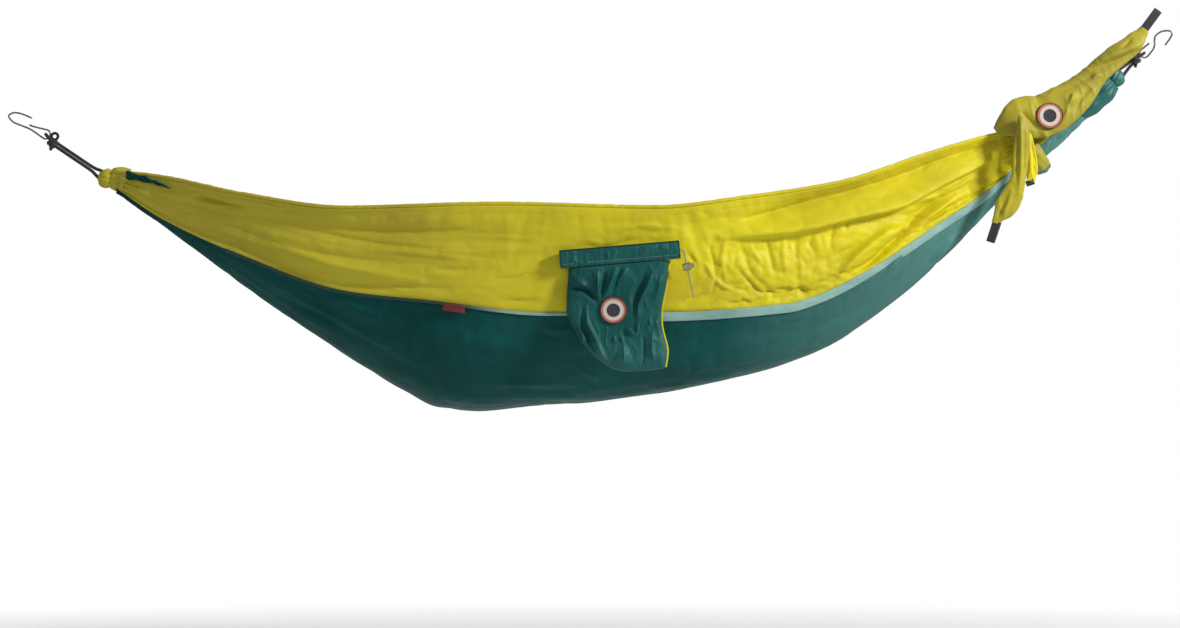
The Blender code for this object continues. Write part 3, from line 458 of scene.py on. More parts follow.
def tube_grid(points, radius, sides=12, caps=True):
    """A (rows, sides, 3) grid round a line; radius is one number or one for each point."""
    p = np.asarray(points, float)
    radius = np.broadcast_to(np.asarray(radius, float), (len(p),)).copy()
    way = np.gradient(p, axis=0)
    way /= np.linalg.norm(way, axis=1, keepdims=True)
    if caps:  # round ends: rings that shrink over one radius
        turns = np.radians([80, 55, 30, 12])
        head = [p[0] - way[0] * radius[0] * math.sin(t) for t in turns]
        tail = [p[-1] + way[-1] * radius[-1] * math.sin(t) for t in turns[::-1]]
        shrink = [radius[0] * math.cos(t) for t in turns]
        p = np.vstack([head, p, tail])
        way = np.vstack([np.repeat(way[:1], 4, 0), way, np.repeat(way[-1:], 4, 0)])
        radius = np.concatenate([shrink, radius, shrink[::-1]])
    start = np.cross(way[0], (0, 1, 0))
    if np.linalg.norm(start) < 0.1:
        start = np.cross(way[0], (0, 0, 1))
    normal = start / np.linalg.norm(start)
    angles = circle(sides)
    rows = []
    for spot, w, r in zip(p, way, radius):
        normal = normal - w * (normal @ w)
        normal /= np.linalg.norm(normal)
        other = np.cross(w, normal)
        rows.append(spot + r * (np.cos(angles)[:, None] * normal + np.sin(angles)[:, None] * other))
    return np.array(rows)


def tube(name, points, radius, material, sides=12, caps=True):
    """A round cord, wire or welt as a mesh with closed ends."""
    return closed_form(name, tube_grid(points, radius, sides, caps), material)


def joined(name, pieces):
    """Several pieces as one object, with their materials kept."""
    with bpy.context.temp_override(active_object=pieces[0], selected_editable_objects=pieces,
                                   selected_objects=pieces):
        bpy.ops.object.join()
    pieces[0].name = pieces[0].data.name = name
    return pieces[0]


STITCH_SECTION = ((-1, -0.5), (-0.6, 0.8), (0.6, 0.8), (1, -0.5))
STITCH_RISE = ((-0.5, 0.0, 0.35), (-0.25, 0.8, 1.0), (0.25, 0.8, 1.0), (0.5, 0.0, 0.35))  # along, up, width


def stitches(name, line, outward, material, pitch, length, radius=0.00022, body="hammock"):
    """A row of stitches along a line: short rounded threads just proud of the cloth."""
    line, outward = np.asarray(line, float), np.asarray(outward, float)
    total = np.linalg.norm(np.diff(line, axis=0), axis=1).sum()
    count = max(2, int(total / pitch))
    dense = spaced(np.hstack([line, outward]), count * 3 + 1)
    spots, out = dense[:, :3], dense[:, 3:]
    verts, faces = [], []
    for k in range(count):
        middle, normal = spots[3 * k + 1], out[3 * k + 1]
        normal = normal / max(np.linalg.norm(normal), 1e-9)
        way = spots[3 * k + 2] - spots[3 * k]
        way = way / max(np.linalg.norm(way), 1e-9)
        side = np.cross(way, normal)
        base = len(verts)
        for a, lift, wide in STITCH_RISE:
            spot = middle + way * length * a + normal * radius * lift
            for u, v in STITCH_SECTION:
                verts.append(spot + side * radius * wide * u + normal * radius * wide * v)
        for row in range(3):
            for c in range(3):
                a = base + row * 4 + c
                faces.append((a, a + 1, a + 5, a + 4))
    mesh = bpy.data.meshes.new(name)
    mesh.from_pydata([tuple(v) for v in verts], [], faces)
    mesh.shade_smooth()
    return adopt(linked(name, mesh, material), body=body)


CLOTH_SETTINGS = {"quality": 4, "mass": 0.05, "air_damping": 6, "tension_stiffness": 12,
                  "compression_stiffness": 12, "shear_stiffness": 4, "bending_stiffness": 0.02}
CLOTH_GRAVITY = 0.3
CLOTH_CAP = 0.005  # how far any point may move


def settled(piece, held, frames, growth, share):
    """Lets a sheet buckle and sag between its held points, by cloth simulation. growth is how much
    longer than now its cloth is, and share is how much of the movement each point keeps: little
    where the cloth is pulled straight."""
    mesh = piece.data
    count = len(mesh.vertices)
    before = np.zeros(count * 3)
    mesh.vertices.foreach_get("co", before)
    group = piece.vertex_groups.new(name="held")
    group.add([int(k) for k in np.flatnonzero(held)], 1.0, "ADD")
    cloth = piece.modifiers.new("cloth", "CLOTH")
    for setting, value in CLOTH_SETTINGS.items():
        setattr(cloth.settings, setting, value)
    cloth.settings.shrink_min = -growth
    cloth.settings.vertex_group_mass = "held"
    cloth.settings.effector_weights.gravity = CLOTH_GRAVITY
    cloth.collision_settings.use_collision = False
    cloth.point_cache.frame_start = 1
    cloth.point_cache.frame_end = frames
    scene = bpy.context.scene
    for step in range(1, frames + 1):
        scene.frame_set(step)
    ready = piece.evaluated_get(bpy.context.evaluated_depsgraph_get())
    after = np.zeros(count * 3)
    ready.data.vertices.foreach_get("co", after)
    piece.modifiers.remove(cloth)
    piece.vertex_groups.remove(group)
    moved = (after - before).reshape(-1, 3)
    reach = np.linalg.norm(moved, axis=1, keepdims=True)
    moved *= CLOTH_CAP * np.tanh(reach / CLOTH_CAP) / np.maximum(reach, 1e-9) * share.reshape(-1, 1)
    mesh.vertices.foreach_set("co", (before.reshape(-1, 3) + moved).ravel())
    mesh.update()
    scene.frame_set(1)


def hung_sheet(name, grid, material, flip, frames, growth, share):
    """A sheet that is held along its edges and buckles a little between them."""
    piece = linked(name, grid_mesh(name, grid, flip), material)
    held = np.zeros(grid.shape[:2], bool)
    held[:3] = held[-3:] = held[:, :2] = held[:, -2:] = True
    settled(piece, held.ravel(), frames, growth, share)
    return thicken(piece, CLOTH_THICKNESS)


# --- materials -------------------------------------------------------------------------------


NOISE_ROUGHNESS = 0.55


class Nodes:
    """A small helper that builds one Principled material's node tree."""

    def __init__(self, name, colour, roughness, metallic=0.0, **sockets):
        self.material = bpy.data.materials.new(name)
        self.material.use_nodes = True
        self.tree = self.material.node_tree
        self.shader = self.tree.nodes["Principled BSDF"]
        self.shader.inputs["Base Color"].default_value = (*colour, 1)
        self.shader.inputs["Roughness"].default_value = roughness
        self.shader.inputs["Metallic"].default_value = metallic
        for socket, value in sockets.items():
            self.shader.inputs[socket.replace("_", " ")].default_value = value
        self.bumped = None

    def add(self, kind, inputs=(), **settings):
        node = self.tree.nodes.new(kind)
        for key, value in settings.items():
            setattr(node, key, value)
        for socket, value in dict(inputs).items():
            if isinstance(value, bpy.types.NodeSocket):
                self.tree.links.new(value, node.inputs[socket])
            else:
                node.inputs[socket].default_value = value
        return node

    def where(self, kind="Object"):
        return self.add("ShaderNodeTexCoord").outputs[kind]

    def mapped(self, where, stretch=(1, 1, 1), degrees=0.0):
        inputs = {"Vector": where, "Scale": stretch, "Rotation": (0, 0, math.radians(degrees))}
        return self.add("ShaderNodeMapping", inputs).outputs[0]

    def noise(self, where, scale, detail=4.0, stretch=(1, 1, 1)):
        inputs = {"Vector": self.mapped(where, stretch), "Scale": scale, "Detail": detail,
                  "Roughness": NOISE_ROUGHNESS}
        return self.add("ShaderNodeTexNoise", inputs).outputs["Fac"]

    def waves(self, where, pitch, axis, distortion=0.0):
        """Bands of one pitch in metres."""
        return self.add("ShaderNodeTexWave", {"Vector": where, "Scale": math.pi / 10 / pitch,
                                              "Distortion": distortion, "Detail": 0.0},
                        bands_direction=axis).outputs["Fac"]

    def math(self, operation, *values):
        return self.add("ShaderNodeMath", dict(enumerate(values)), operation=operation).outputs[0]

    def ramp(self, fac, stops, interpolation="LINEAR"):
        node = self.add("ShaderNodeValToRGB", {"Fac": fac})
        ramp = node.color_ramp
        ramp.interpolation = interpolation
        while len(ramp.elements) < len(stops):
            ramp.elements.new(0.5)
        for element, (place, colour) in zip(ramp.elements, stops):
            element.position = place
            element.color = (*colour, 1)
        return node.outputs["Color"]

    def mix(self, fac, a, b):
        """One colour into another; the numbered sockets are the factor and the two colours."""
        a, b = ((*colour, 1) if isinstance(colour, tuple) else colour for colour in (a, b))
        return self.add("ShaderNodeMix", {0: fac, 6: a, 7: b}, data_type="RGBA").outputs[2]

    def colour(self, value):
        self.tree.links.new(value, self.shader.inputs["Base Color"])

    def roughness(self, fac, low, high):
        spread = self.add("ShaderNodeMapRange", {"Value": fac, "To Min": low, "To Max": high})
        self.tree.links.new(spread.outputs[0], self.shader.inputs["Roughness"])

    def bump(self, height, distance, strength=1.0):
        inputs = {"Height": height, "Distance": distance, "Strength": strength}
        if self.bumped:
            inputs["Normal"] = self.bumped
        self.bumped = self.add("ShaderNodeBump", inputs).outputs[0]
        self.tree.links.new(self.bumped, self.shader.inputs["Normal"])


WEAVE_PITCH = 0.00075


def nylon(name, colour, deep, pale, roughness, sheen, crumple=0.0012, shine=0.2, light=None, painted_left_shade=None):
    """Thin calendered nylon: a fine plain weave, soft tone changes, and tiny crumples. light is painted
    light: a paler tone mixed in towards the right-hand end, standing in for daylight shining through
    the cloth. The colour given for the left-hand end is painted shade: a darker olive mixed in there,
    standing in for the dimmer light on that end."""
    n = Nodes(name, colour, roughness, Sheen_Weight=sheen, Sheen_Roughness=0.35,
              Sheen_Tint=(*pale, 1), Specular_IOR_Level=shine)
    uv, where = n.where("UV"), n.where()
    broad = n.noise(where, 5.0, 3.0, (1, 1, 2.2))
    fine = n.noise(where, 60.0, 3.0)
    tone = n.ramp(broad, [(0.30, deep), (0.52, colour), (0.78, pale)])
    thread = n.noise(uv, 900.0, 2.0, (1.0, 0.12, 1))
    # painted light: the tone is mixed towards a paler colour at the right-hand end
    if light:
        tone = n.mix(n.math("MULTIPLY", along_x(n, 1.25, 1.75), 0.85), tone, light)
    # painted shade: the tone is mixed towards a darker olive at the left-hand end
    if painted_left_shade:
        tone = n.mix(n.math("MULTIPLY", along_x(n, 1.15, 0.35), 0.45), tone, painted_left_shade)
    n.colour(n.mix(n.math("MULTIPLY", thread, 0.30), tone, deep))
    n.roughness(fine, roughness - 0.08, roughness + 0.10)
    crumples = n.add("ShaderNodeTexVoronoi", {"Vector": n.mapped(where, (1.0, 1.0, 0.55)), "Scale": 42.0,
                                              "Randomness": 1.0}, feature="SMOOTH_F1").outputs["Distance"]
    n.bump(crumples, crumple, 0.35)
    n.bump(n.noise(where, 26.0, 6.0, (1.0, 1.0, 1.7)), crumple * 1.6, 0.5)
    warp, weft = n.waves(uv, WEAVE_PITCH, "X"), n.waves(uv, WEAVE_PITCH, "Y")
    n.bump(n.math("MULTIPLY", warp, weft), 0.00010, 0.7)
    return n.material


def along_x(n, start, stop):
    """From 0 to 1 between two places along the hammock."""
    x = n.add("ShaderNodeSeparateXYZ", {0: n.where()}).outputs[0]
    return n.add("ShaderNodeMapRange", {"Value": x, "From Min": start, "From Max": stop}).outputs[0]


def tape(name, colour, deep, pale, left=None):
    """Woven tape with a rib along it; left is a much darker colour that it takes towards the left-hand end.
    """
    n = Nodes(name, colour, 0.5, Sheen_Weight=0.15, Sheen_Roughness=0.4)
    uv = n.where("UV")
    tone = n.ramp(n.noise(n.where(), 14.0, 4.0, (1, 1, 3)), [(0.3, deep), (0.55, colour), (0.8, pale)])
    if left:
        tone = n.mix(along_x(n, 0.80, 0.88), left, tone)
    n.colour(tone)
    n.bump(n.waves(uv, 0.0011, "Y"), 0.0002, 0.6)
    n.bump(n.waves(uv, 0.0008, "X"), 0.00012, 0.5)
    n.bump(n.noise(n.where(), 70.0, 4.0), 0.0006, 0.5)
    return n.material


def braid(name, colour, pale, pitch, radius, worn):
    """Braided cord: strands that cross over each other, and fuzz on the crowns."""
    n = Nodes(name, colour, 0.72, Sheen_Weight=0.35, Sheen_Roughness=0.5)
    uv = n.where("UV")
    turn = 2 * math.pi * radius
    spacing = min(pitch, turn / 3)
    a, b = [n.waves(n.mapped(uv, degrees=slant), spacing, "X") for slant in (38, -38)]
    strands = n.math("MAXIMUM", a, b)
    fuzz = n.noise(n.where(), 1400.0, 4.0)
    crowns = n.math("MULTIPLY", n.math("POWER", strands, 3.0), n.math("MULTIPLY", fuzz, worn))
    n.colour(n.mix(crowns, colour, pale))
    n.roughness(fuzz, 0.55, 0.85)
    n.bump(strands, pitch * 0.22, 0.9)
    n.bump(fuzz, 0.00015, 0.5)
    return n.material


def webbing_material():
    """Flat woven webbing: a herringbone of ribs."""
    n = Nodes("webbing_weave", (0.020, 0.018, 0.020), 0.75, Sheen_Weight=0.3, Sheen_Roughness=0.5)
    uv = n.where("UV")
    ribs = n.waves(n.mapped(uv, degrees=52), 0.0013, "X")
    cross = n.waves(uv, 0.0009, "Y")
    woven = n.math("MULTIPLY", ribs, cross)
    fuzz = n.noise(n.where(), 900.0, 3.0)
    n.colour(n.mix(n.math("MULTIPLY", woven, fuzz), (0.014, 0.012, 0.014), (0.075, 0.070, 0.074)))
    n.bump(woven, 0.0003, 0.9)
    return n.material


def steel_material():
    """Zinc-plated wire: satin, with drawn streaks, handling scratches and duller spots."""
    n = Nodes("zinc_wire", (0.26, 0.26, 0.26), 0.34, 1.0, Anisotropic=0.4)
    where, uv = n.where(), n.where("UV")
    spots = n.noise(where, 380.0, 5.0)
    n.colour(n.ramp(spots, [(0.35, (0.12, 0.118, 0.115)), (0.5, (0.24, 0.24, 0.245)),
                            (0.7, (0.40, 0.40, 0.41))]))
    n.roughness(n.noise(where, 160.0, 6.0), 0.28, 0.52)
    n.bump(n.noise(uv, 600.0, 4.0, (0.05, 1, 1)), 0.00008, 0.6)
    return n.material


def plastic_material():
    """Moulded olive plastic with a fine spark-eroded grain."""
    n = Nodes("lock_plastic", (0.26, 0.23, 0.12), 0.45)
    where = n.where()
    n.colour(n.ramp(n.noise(where, 120.0, 3.0), [(0.3, (0.20, 0.18, 0.10)), (0.7, (0.33, 0.30, 0.17))]))
    n.roughness(n.noise(where, 700.0, 3.0), 0.38, 0.58)
    n.bump(n.noise(where, 2600.0, 2.0), 0.00006, 0.6)
    return n.material


def patch_material(name, middle):
    """A round stitched patch: plain rings in satin stitch, worked out from the patch's middle."""
    n = Nodes(name, (0.6, 0.56, 0.5), 0.7, Sheen_Weight=0.35, Sheen_Roughness=0.4)
    shift = n.add("ShaderNodeVectorMath", {0: n.where(), 1: middle}, operation="SUBTRACT").outputs[0]
    apart = n.add("ShaderNodeSeparateXYZ", {0: shift}).outputs
    radius = n.math("SQRT", n.math("ADD", n.math("POWER", apart[0], 2.0), n.math("POWER", apart[2], 2.0)))
    share = n.math("DIVIDE", radius, PATCH_RADIUS)
    cream, coral, dark = (0.74, 0.69, 0.62), (0.62, 0.16, 0.10), (0.030, 0.024, 0.034)
    rim = (0.05, 0.020, 0.018)
    rings = n.ramp(share, [(0.0, dark), (0.50, cream), (0.76, coral), (0.91, rim)], "CONSTANT")
    thread = n.waves(n.where(), 0.0007, "DIAGONAL", 0.6)
    n.colour(n.mix(n.math("MULTIPLY", thread, 0.35), rings, (0.02, 0.015, 0.015)))
    n.bump(thread, 0.00022, 0.9)
    return n.material


# the yellow nylon, with painted shade darkening its left-hand end
YELLOW = nylon("yellow_nylon", (0.66, 0.575, 0.014), (0.54, 0.46, 0.018), (0.76, 0.68, 0.018), 0.42, 0.05,
               painted_left_shade=(0.43, 0.37, 0.085))
# painted shade: a darker olive copy of the yellow nylon for the pillow, its knot band and long tail
SHADED_YELLOW_NYLON = nylon("pillow_nylon", (0.39, 0.34, 0.030), (0.30, 0.255, 0.030), (0.53, 0.47, 0.024), 0.42, 0.05)
# the green nylon, with painted light on its right-hand end
GREEN = nylon("green_nylon", (0.003, 0.074, 0.068), (0.001, 0.050, 0.046), (0.010, 0.100, 0.092), 0.42, 0.0,
              shine=0.10, light=(0.125, 0.295, 0.272))
POUCH_GREEN = nylon("pouch_nylon", (0.008, 0.100, 0.092), (0.002, 0.062, 0.057), (0.030, 0.160, 0.148),
                    0.40, 0.0)
# painted light: a paler copy of the green nylon for the right-hand gather
LIT_GREEN_NYLON = nylon("neck_nylon", (0.035, 0.16, 0.145), (0.003, 0.050, 0.045), (0.17, 0.34, 0.325), 0.34, 0.0,
                   shine=0.35)
TAPE = tape("seam_tape", (0.24, 0.42, 0.38), (0.17, 0.33, 0.30), (0.36, 0.53, 0.49), (0.010, 0.050, 0.040))
ROPE_BRAID = braid("rope_braid", (0.010, 0.008, 0.007), (0.060, 0.048, 0.040), 0.0022, ROPE / 2, 0.25)
DRAW_BRAID = braid("drawcord_braid", (0.30, 0.26, 0.12), (0.50, 0.46, 0.30), 0.0010, DRAWSTRING / 2, 0.8)
WEBBING = webbing_material()
STEEL = steel_material()
PLASTIC = plastic_material()
YELLOW_THREAD = Nodes("yellow_thread", (0.50, 0.45, 0.06), 0.6).material
PALE_THREAD = Nodes("pale_thread", (0.42, 0.55, 0.50), 0.6).material
BLACK_THREAD = Nodes("black_thread", (0.06, 0.055, 0.055), 0.6).material
TAG = tape("tag_weave", (0.22, 0.020, 0.014), (0.13, 0.012, 0.010), (0.30, 0.050, 0.035))
BINDING = nylon("header_binding", (0.010, 0.038, 0.045), (0.006, 0.025, 0.030), (0.03, 0.08, 0.09), 0.5, 0.3)


# --- camera ----------------------------------------------------------------------------------

LENS = 180.0
SENSOR = 36.0
VIEW_WIDTH = 2.065
VIEW_MIDDLE = (1.0255, -0.10, -0.350)


def camera():
    lens = bpy.data.cameras.new("camera")
    lens.lens = LENS
    lens.sensor_width = SENSOR
    lens.clip_end = 200
    view = bpy.data.objects.new("camera", lens)
    bpy.context.scene.collection.objects.link(view)
    x, y, z = VIEW_MIDDLE
    view.location = (x, y - VIEW_WIDTH * LENS / SENSOR, z)
    view.rotation_euler = (math.pi / 2, 0, 0)
    bpy.context.scene.camera = view


# --- drawstring's tail, the one free cord ----------------------------------------------------


def in_header(along, y):
    mx, mz = HEADER_MIDDLE
    return mx + along * math.cos(HEADER_TILT), y, mz + along * math.sin(HEADER_TILT)


def lock_slope():
    return Vector((TAIL_END[0] - LOCK[0], 0, TAIL_END[1] - LOCK[1])).normalized()


def drawstring_tail():
    lock = Vector((LOCK[0], CORD_FRONT, LOCK[1]))
    down = [lock + lock_slope() * s for s in (-0.009, 0.0, 0.009, 0.020, 0.032, 0.044, 0.0535)]
    bend = [(x, CORD_FRONT, z) for x, z in TAIL_BEND]
    exit_at = in_header(HEADER_LENGTH / 2 + 0.0004, CORD_FRONT)
    line = np.array(route([exit_at, *bend, *down], 5))
    piece = tube("drawstring_tail_cord", line, DRAWSTRING / 2, DRAW_BRAID, 12)
    length = float(np.linalg.norm(np.diff(line, axis=0), axis=1).sum())
    adopt(piece, ["drawstring_tail"])
    return piece, exit_at, length, line


# --- the hung cloth --------------------------------------------------------------------------

hem_z, seam_z, keel_z, half_width = map(through, (HEM, SEAM, KEEL, WIDTH))
STATIONS = 520
ALONG = NECK[0] + (NECK[1] - NECK[0]) * np.linspace(0, 1, STATIONS)


def top_z(x):
    return hem_z(x) - HEM_RADIUS - 0.0008


def drop(x, z):
    """How far down the section a height is: 0 at the cloth's edge, 1 at the keel."""
    return (top_z(x) - z) / (top_z(x) - keel_z(x))


def section(x, f, side):
    y = half_width(x) * np.maximum(0, 1 - f * f) ** FULLNESS
    return np.stack([np.broadcast_to(x, np.shape(f)), side * y, top_z(x) - (top_z(x) - keel_z(x)) * f], -1)


def strip(x, first, last, side, count):
    """Points evenly spaced round one section, between two depths."""
    turns = np.linspace(math.asin(first), math.asin(last), 240)
    return spaced(section(x, np.sin(turns), side), count)


def pleats(x, q, count, seed):
    """Gathering folds that run out from both ends: q goes from 0 to 1 across the cloth."""
    near_left = np.exp(-(x - NECK[0]) / 0.085)
    near_right = np.exp(-(NECK[1] - x) / 0.075)
    wobble = 0.08 * rough(x, q, 9, 3, seed)
    wave = pleated(math.pi * count * (q + wobble), 0.8)
    half = pleated(math.pi * count * 0.5 * (q + wobble) + 1.1, 0.8)
    return (0.0036 * near_left + 0.0040 * near_right) * (wave + 0.5 * half - 0.8)


def edge_fade(q, first, last):
    """0 at both edges of a sheet, 1 from a share in from them."""
    return rising(q, 0, first) * falling(q, 1, last)


def displaced(grid, lift, outward):
    """A grid moved along its normals, which are made to point away from the hammock's middle."""
    normals = normals_of(grid)
    return grid + normals * outward * lift[..., None]


def side_lift(grid, side, q):
    x, z = grid[..., 0], grid[..., 2]
    fold_x = x if side < 0 else x + 0.012 * np.sin(9 * x)
    fold_z = z if side < 0 else z + 0.006 * np.sin(7 * x + 2)
    lift = relief(fold_x, fold_z, NEAR_FOLDS)
    run = rising(x, 1.20, 0.10) * falling(x, 1.50, 0.10)
    below = rising(q, 0.30, 0.15)
    crumple = creased(x, z, 55, 22, 3.1 + side) + 0.6 * creased(x, z, 30, 48, 8.7 + side)
    crumple += 0.5 * creased(x + 0.6 * z, z, 110, 60, 5.2 + side)
    lift += 0.0017 * run * below * crumple
    lift += 0.0013 * creased(x + 0.3 * z, z, 22, 60, 1.3 + side) * (0.4 + 0.6 * rising(x, 0.9, 0.5))
    lift += 0.0026 * rough(x, q, 4.5, 7, 4.4 + side) + 0.0012 * rough(x, q, 14, 16, 6.2 + side)
    lift += pleats(x, q, 6, 2.5 + side)
    return lift * edge_fade(q, 0.05, 0.07)


def side_panel(name, side):
    columns = 60
    grid = np.array([strip(x, 0.0, float(drop(x, seam_z(x))), side, columns) for x in ALONG])
    q = np.broadcast_to(np.linspace(0, 1, columns), grid.shape[:2])
    grid = displaced(grid, side_lift(grid, side, q), -side)
    slack = 0.25 + 0.75 * rising(grid[..., 0], 1.12, 0.15)
    piece = hung_sheet(f"{name}_cloth", grid, YELLOW, side < 0, 10, 0.02, slack)
    return adopt(piece, [name])


def centre_panel():
    columns = 94
    rows = []
    for x in ALONG:
        high = float(drop(x, seam_z(x)))
        far, near = strip(x, high, 1.0, 1, columns // 2 + 1), strip(x, high, 1.0, -1, columns // 2 + 1)
        rows.append(np.concatenate([far, near[::-1][1:]]))
    grid = np.array(rows)
    x, y, z = grid[..., 0], grid[..., 1], grid[..., 2]
    q = np.broadcast_to(np.linspace(0, 1, grid.shape[1]), grid.shape[:2])
    lift = relief(x, z, CENTRE_FOLDS) * np.clip(np.abs(y) / 0.02, 0, 1)
    lift += 0.0030 * rough(x, q, 3.5, 10, 9.1) + 0.0014 * rough(x, q, 12, 26, 12.4)
    lift += 0.0016 * creased(x + 0.5 * q, q, 16, 22, 5.7)
    lift += pleats(x, q, 13, 7.7)
    lift += rising(x, 1.80, 0.05) * 0.0034 * (creased(x, q, 46, 9, 14.2) - 0.3)
    grid = displaced(grid, lift * edge_fade(q, 0.055, 0.055) ** 1.5, -1)
    piece = hung_sheet("centre_panel_cloth", grid, GREEN, False, 8, 0.015, np.full(grid.shape[:2], 0.35))
    return adopt(piece, ["centre_panel"])


# --- trim on the cloth -----------------------------------------------------------------------


def lifted(x, f, side, by):
    """Points at a distance outside the cloth; x and f are arrays of one shape."""
    along = section(x + 0.001, f, side) - section(x - 0.001, f, side)
    down = section(x, f + 0.002, side) - section(x, np.maximum(f - 0.002, 0), side)
    normal = np.cross(along, down) * side
    normal /= np.linalg.norm(normal, axis=-1, keepdims=True)
    return section(x, f, side) + normal * np.asarray(by)[..., None]


def seam_band(name, side):
    x = ALONG[(ALONG > 0.385) & (ALONG < 1.80)]
    depth = top_z(x) - keel_z(x)
    high = drop(x, seam_z(x)) - 0.0028 / depth
    shown = 0.0048 + 0.0107 * rising(x, 1.00, 0.14)
    low = np.minimum(0.985, high + shown / depth)
    f = high[:, None] + (low - high)[:, None] * np.linspace(0, 1, 9)[None]
    x = np.broadcast_to(x[:, None], f.shape)
    q = np.linspace(0, 1, 9)[None]
    puff = 0.0006 * np.sin(math.pi * q) + 0.0005 * rough(x, f, 60, 20, 3.3 + side)
    grid = lifted(x, f, side, 0.0026 + puff)
    adopt(cloth_piece(f"{name}_tape", grid, TAPE, 0.0012, side < 0), [name])
    for row, share in (("upper", 0.15), ("lower", 0.85)):
        t = high + share * (low - high)
        line = lifted(x[:, 0], t, side, 0.0033)
        out = line - section(x[:, 0], t, side)
        stitches(f"{name}_{row}_stitches", line, out, PALE_THREAD, 0.0034, 0.0024, 0.00026)


def hem(name, side):
    """The rolled edge, drawn in and eased by its stitching."""
    x = ALONG
    y = side * (half_width(x) - 0.0012)
    wave = 0.0006 * rough(x, x, 60, 0, 5.0 + side)
    line = np.stack([x, y, hem_z(x) + wave], -1)
    fat = 1.4 * HEM_RADIUS * (1 + 0.14 * rough(x, x, 130, 0, 8.0 + side))
    roll = tube(f"{name}_roll", line, fat, YELLOW, 14)
    adopt(roll, [name])
    inset = ALONG[(ALONG > 0.24) & (ALONG < 1.88)]
    f = np.full_like(inset, 0.02) + 0.0045 / (top_z(inset) - keel_z(inset))
    run = lifted(inset, f, side, 0.0006)
    out = run - section(inset, f, side)
    stitches(f"{name}_stitches", run, out, YELLOW_THREAD, 0.0040, 0.0027)


def seam_tag():
    x = np.linspace(0.770, 0.808, 16)[:, None] * np.ones((1, 8))
    z = np.linspace(0.002, -0.011, 8)[None] * np.ones((16, 1))
    curl = 0.0010 * np.sin(60 * (x - 0.77)) + 0.0008 * np.cos(300 * z)
    grid = lifted(x, drop(x, seam_z(x) + z), -1, 0.0056 + curl)
    adopt(cloth_piece("seam_tag_weave", grid, TAG, 0.0009, True), ["seam_tag"])


# --- soft closed forms -----------------------------------------------------------------------


def loft(name, stations, material, folds, half, rows, sides, crumple, scale):
    """A stuffed or bunched form, its folds laid on the side towards -Y. Each station is the middle
    of an oval section, its two half sizes and its roll in degrees; half is +1 or -1 for a form with
    a flat back that faces away from that side of Y."""
    path = spaced(route(stations, 16), rows)
    way = np.gradient(path[:, :3], axis=0)
    arc = sides if half is None else sides * 3 // 4
    if half is None:
        angles = circle(sides)
    else:
        angles = np.linspace(0, math.pi, arc) + (0 if half > 0 else math.pi)
    rings, outs = [], []
    for (x, y, z, wide, thick, roll), w in zip(path, way):
        w = Vector((w[0], 0, w[2])).normalized()
        up = Vector((-w.z, 0, w.x))
        lean = math.radians(roll)
        broad = np.array(up * math.cos(lean) + Vector((0, 1, 0)) * math.sin(lean))
        deep = np.array(Vector((0, 1, 0)) * math.cos(lean) - up * math.sin(lean))
        spots = (np.array((x, y, z)) + np.cos(angles)[:, None] * broad * wide
                 + squared_off(np.sin(angles), 0.8)[:, None] * deep * thick + deep * 0.0006 * (half or 0))
        rings.append(spots)
        outs.append(np.cos(angles)[:, None] * broad * thick + np.sin(angles)[:, None] * deep * wide)
    grid, out = np.array(rings), np.array(outs)
    out /= np.maximum(np.linalg.norm(out, axis=-1, keepdims=True), 1e-9)
    q = np.broadcast_to(np.linspace(0, 1, rows)[:, None], grid.shape[:2])
    lift = relief(grid[..., 0], grid[..., 2], folds) * np.clip(-out[..., 1] * 2.0, 0, 1)
    seed = 3.0 + len(name)
    lift += crumple * (creased(grid[..., 0] + grid[..., 1], grid[..., 2], scale, scale * 0.6, seed) - 0.3)
    lift += crumple * rough(grid[..., 0], grid[..., 2] + grid[..., 1], scale * 0.5, scale * 0.5, seed + 2)
    edge = edge_fade(q, 0.05, 0.05)
    if half is not None:
        edge = edge * np.clip(np.sin(np.linspace(0, math.pi, arc)) * 5, 0, 1)[None]
    grid = grid + out * (lift * edge)[..., None]
    if half is not None:
        chord = np.linspace(0, 1, sides - arc + 2)[1:-1][None, :, None]
        grid = np.concatenate([grid, grid[:, -1:] + (grid[:, :1] - grid[:, -1:]) * chord], axis=1)
    return closed_form(name, grid, material)


def cut(piece, *steps):
    """Boolean steps on a mesh, applied at once; each step is (operation, other)."""
    for operation, other in steps:
        step = piece.modifiers.new("cut", "BOOLEAN")
        step.object, step.operation, step.solver = other, operation, "EXACT"
        ready = piece.evaluated_get(bpy.context.evaluated_depsgraph_get())
        made = bpy.data.meshes.new_from_object(ready)
        piece.modifiers.clear()
        piece.data = made
        bpy.data.objects.remove(other, do_unlink=True)
    piece.data.shade_smooth()
    piece.data.set_sharp_from_angle(angle=math.radians(50))
    return piece


def bar(name, a, b, radius, material, sides=40):
    """A round bar from a to b with its rims rounded."""
    a, b = np.array(a, float), np.array(b, float)
    way = (b - a) / np.linalg.norm(b - a)
    rim = min(0.0008, radius * 0.3)
    line = [a, a + way * rim * 0.15, a + way * rim * 0.5, a + way * rim, b - way * rim,
            b - way * rim * 0.5, b - way * rim * 0.15, b]
    radii = [radius - rim, radius - rim * 0.48, radius - rim * 0.13, radius, radius,
             radius - rim * 0.13, radius - rim * 0.48, radius - rim]
    return tube(name, line, radii, material, sides, caps=False)


def block(name, middle, size, tilt, *materials):
    work = bmesh.new()
    bmesh.ops.create_cube(work, size=1)
    bmesh.ops.transform(work, matrix=Matrix.Diagonal((*size, 1)), verts=work.verts)
    bmesh.ops.transform(work, matrix=Matrix.Rotation(-tilt, 4, "Y"), verts=work.verts)
    bmesh.ops.translate(work, vec=middle, verts=work.verts)
    return from_bmesh(name, work, *materials)


# --- gathers, ropes and hooks ----------------------------------------------------------------


def knot_middle(end):
    (ex, ez), (dx, dz) = end["eye"], end["knot_towards"]
    return ex + KNOT_DISTANCE * dx, ez + KNOT_DISTANCE * dz


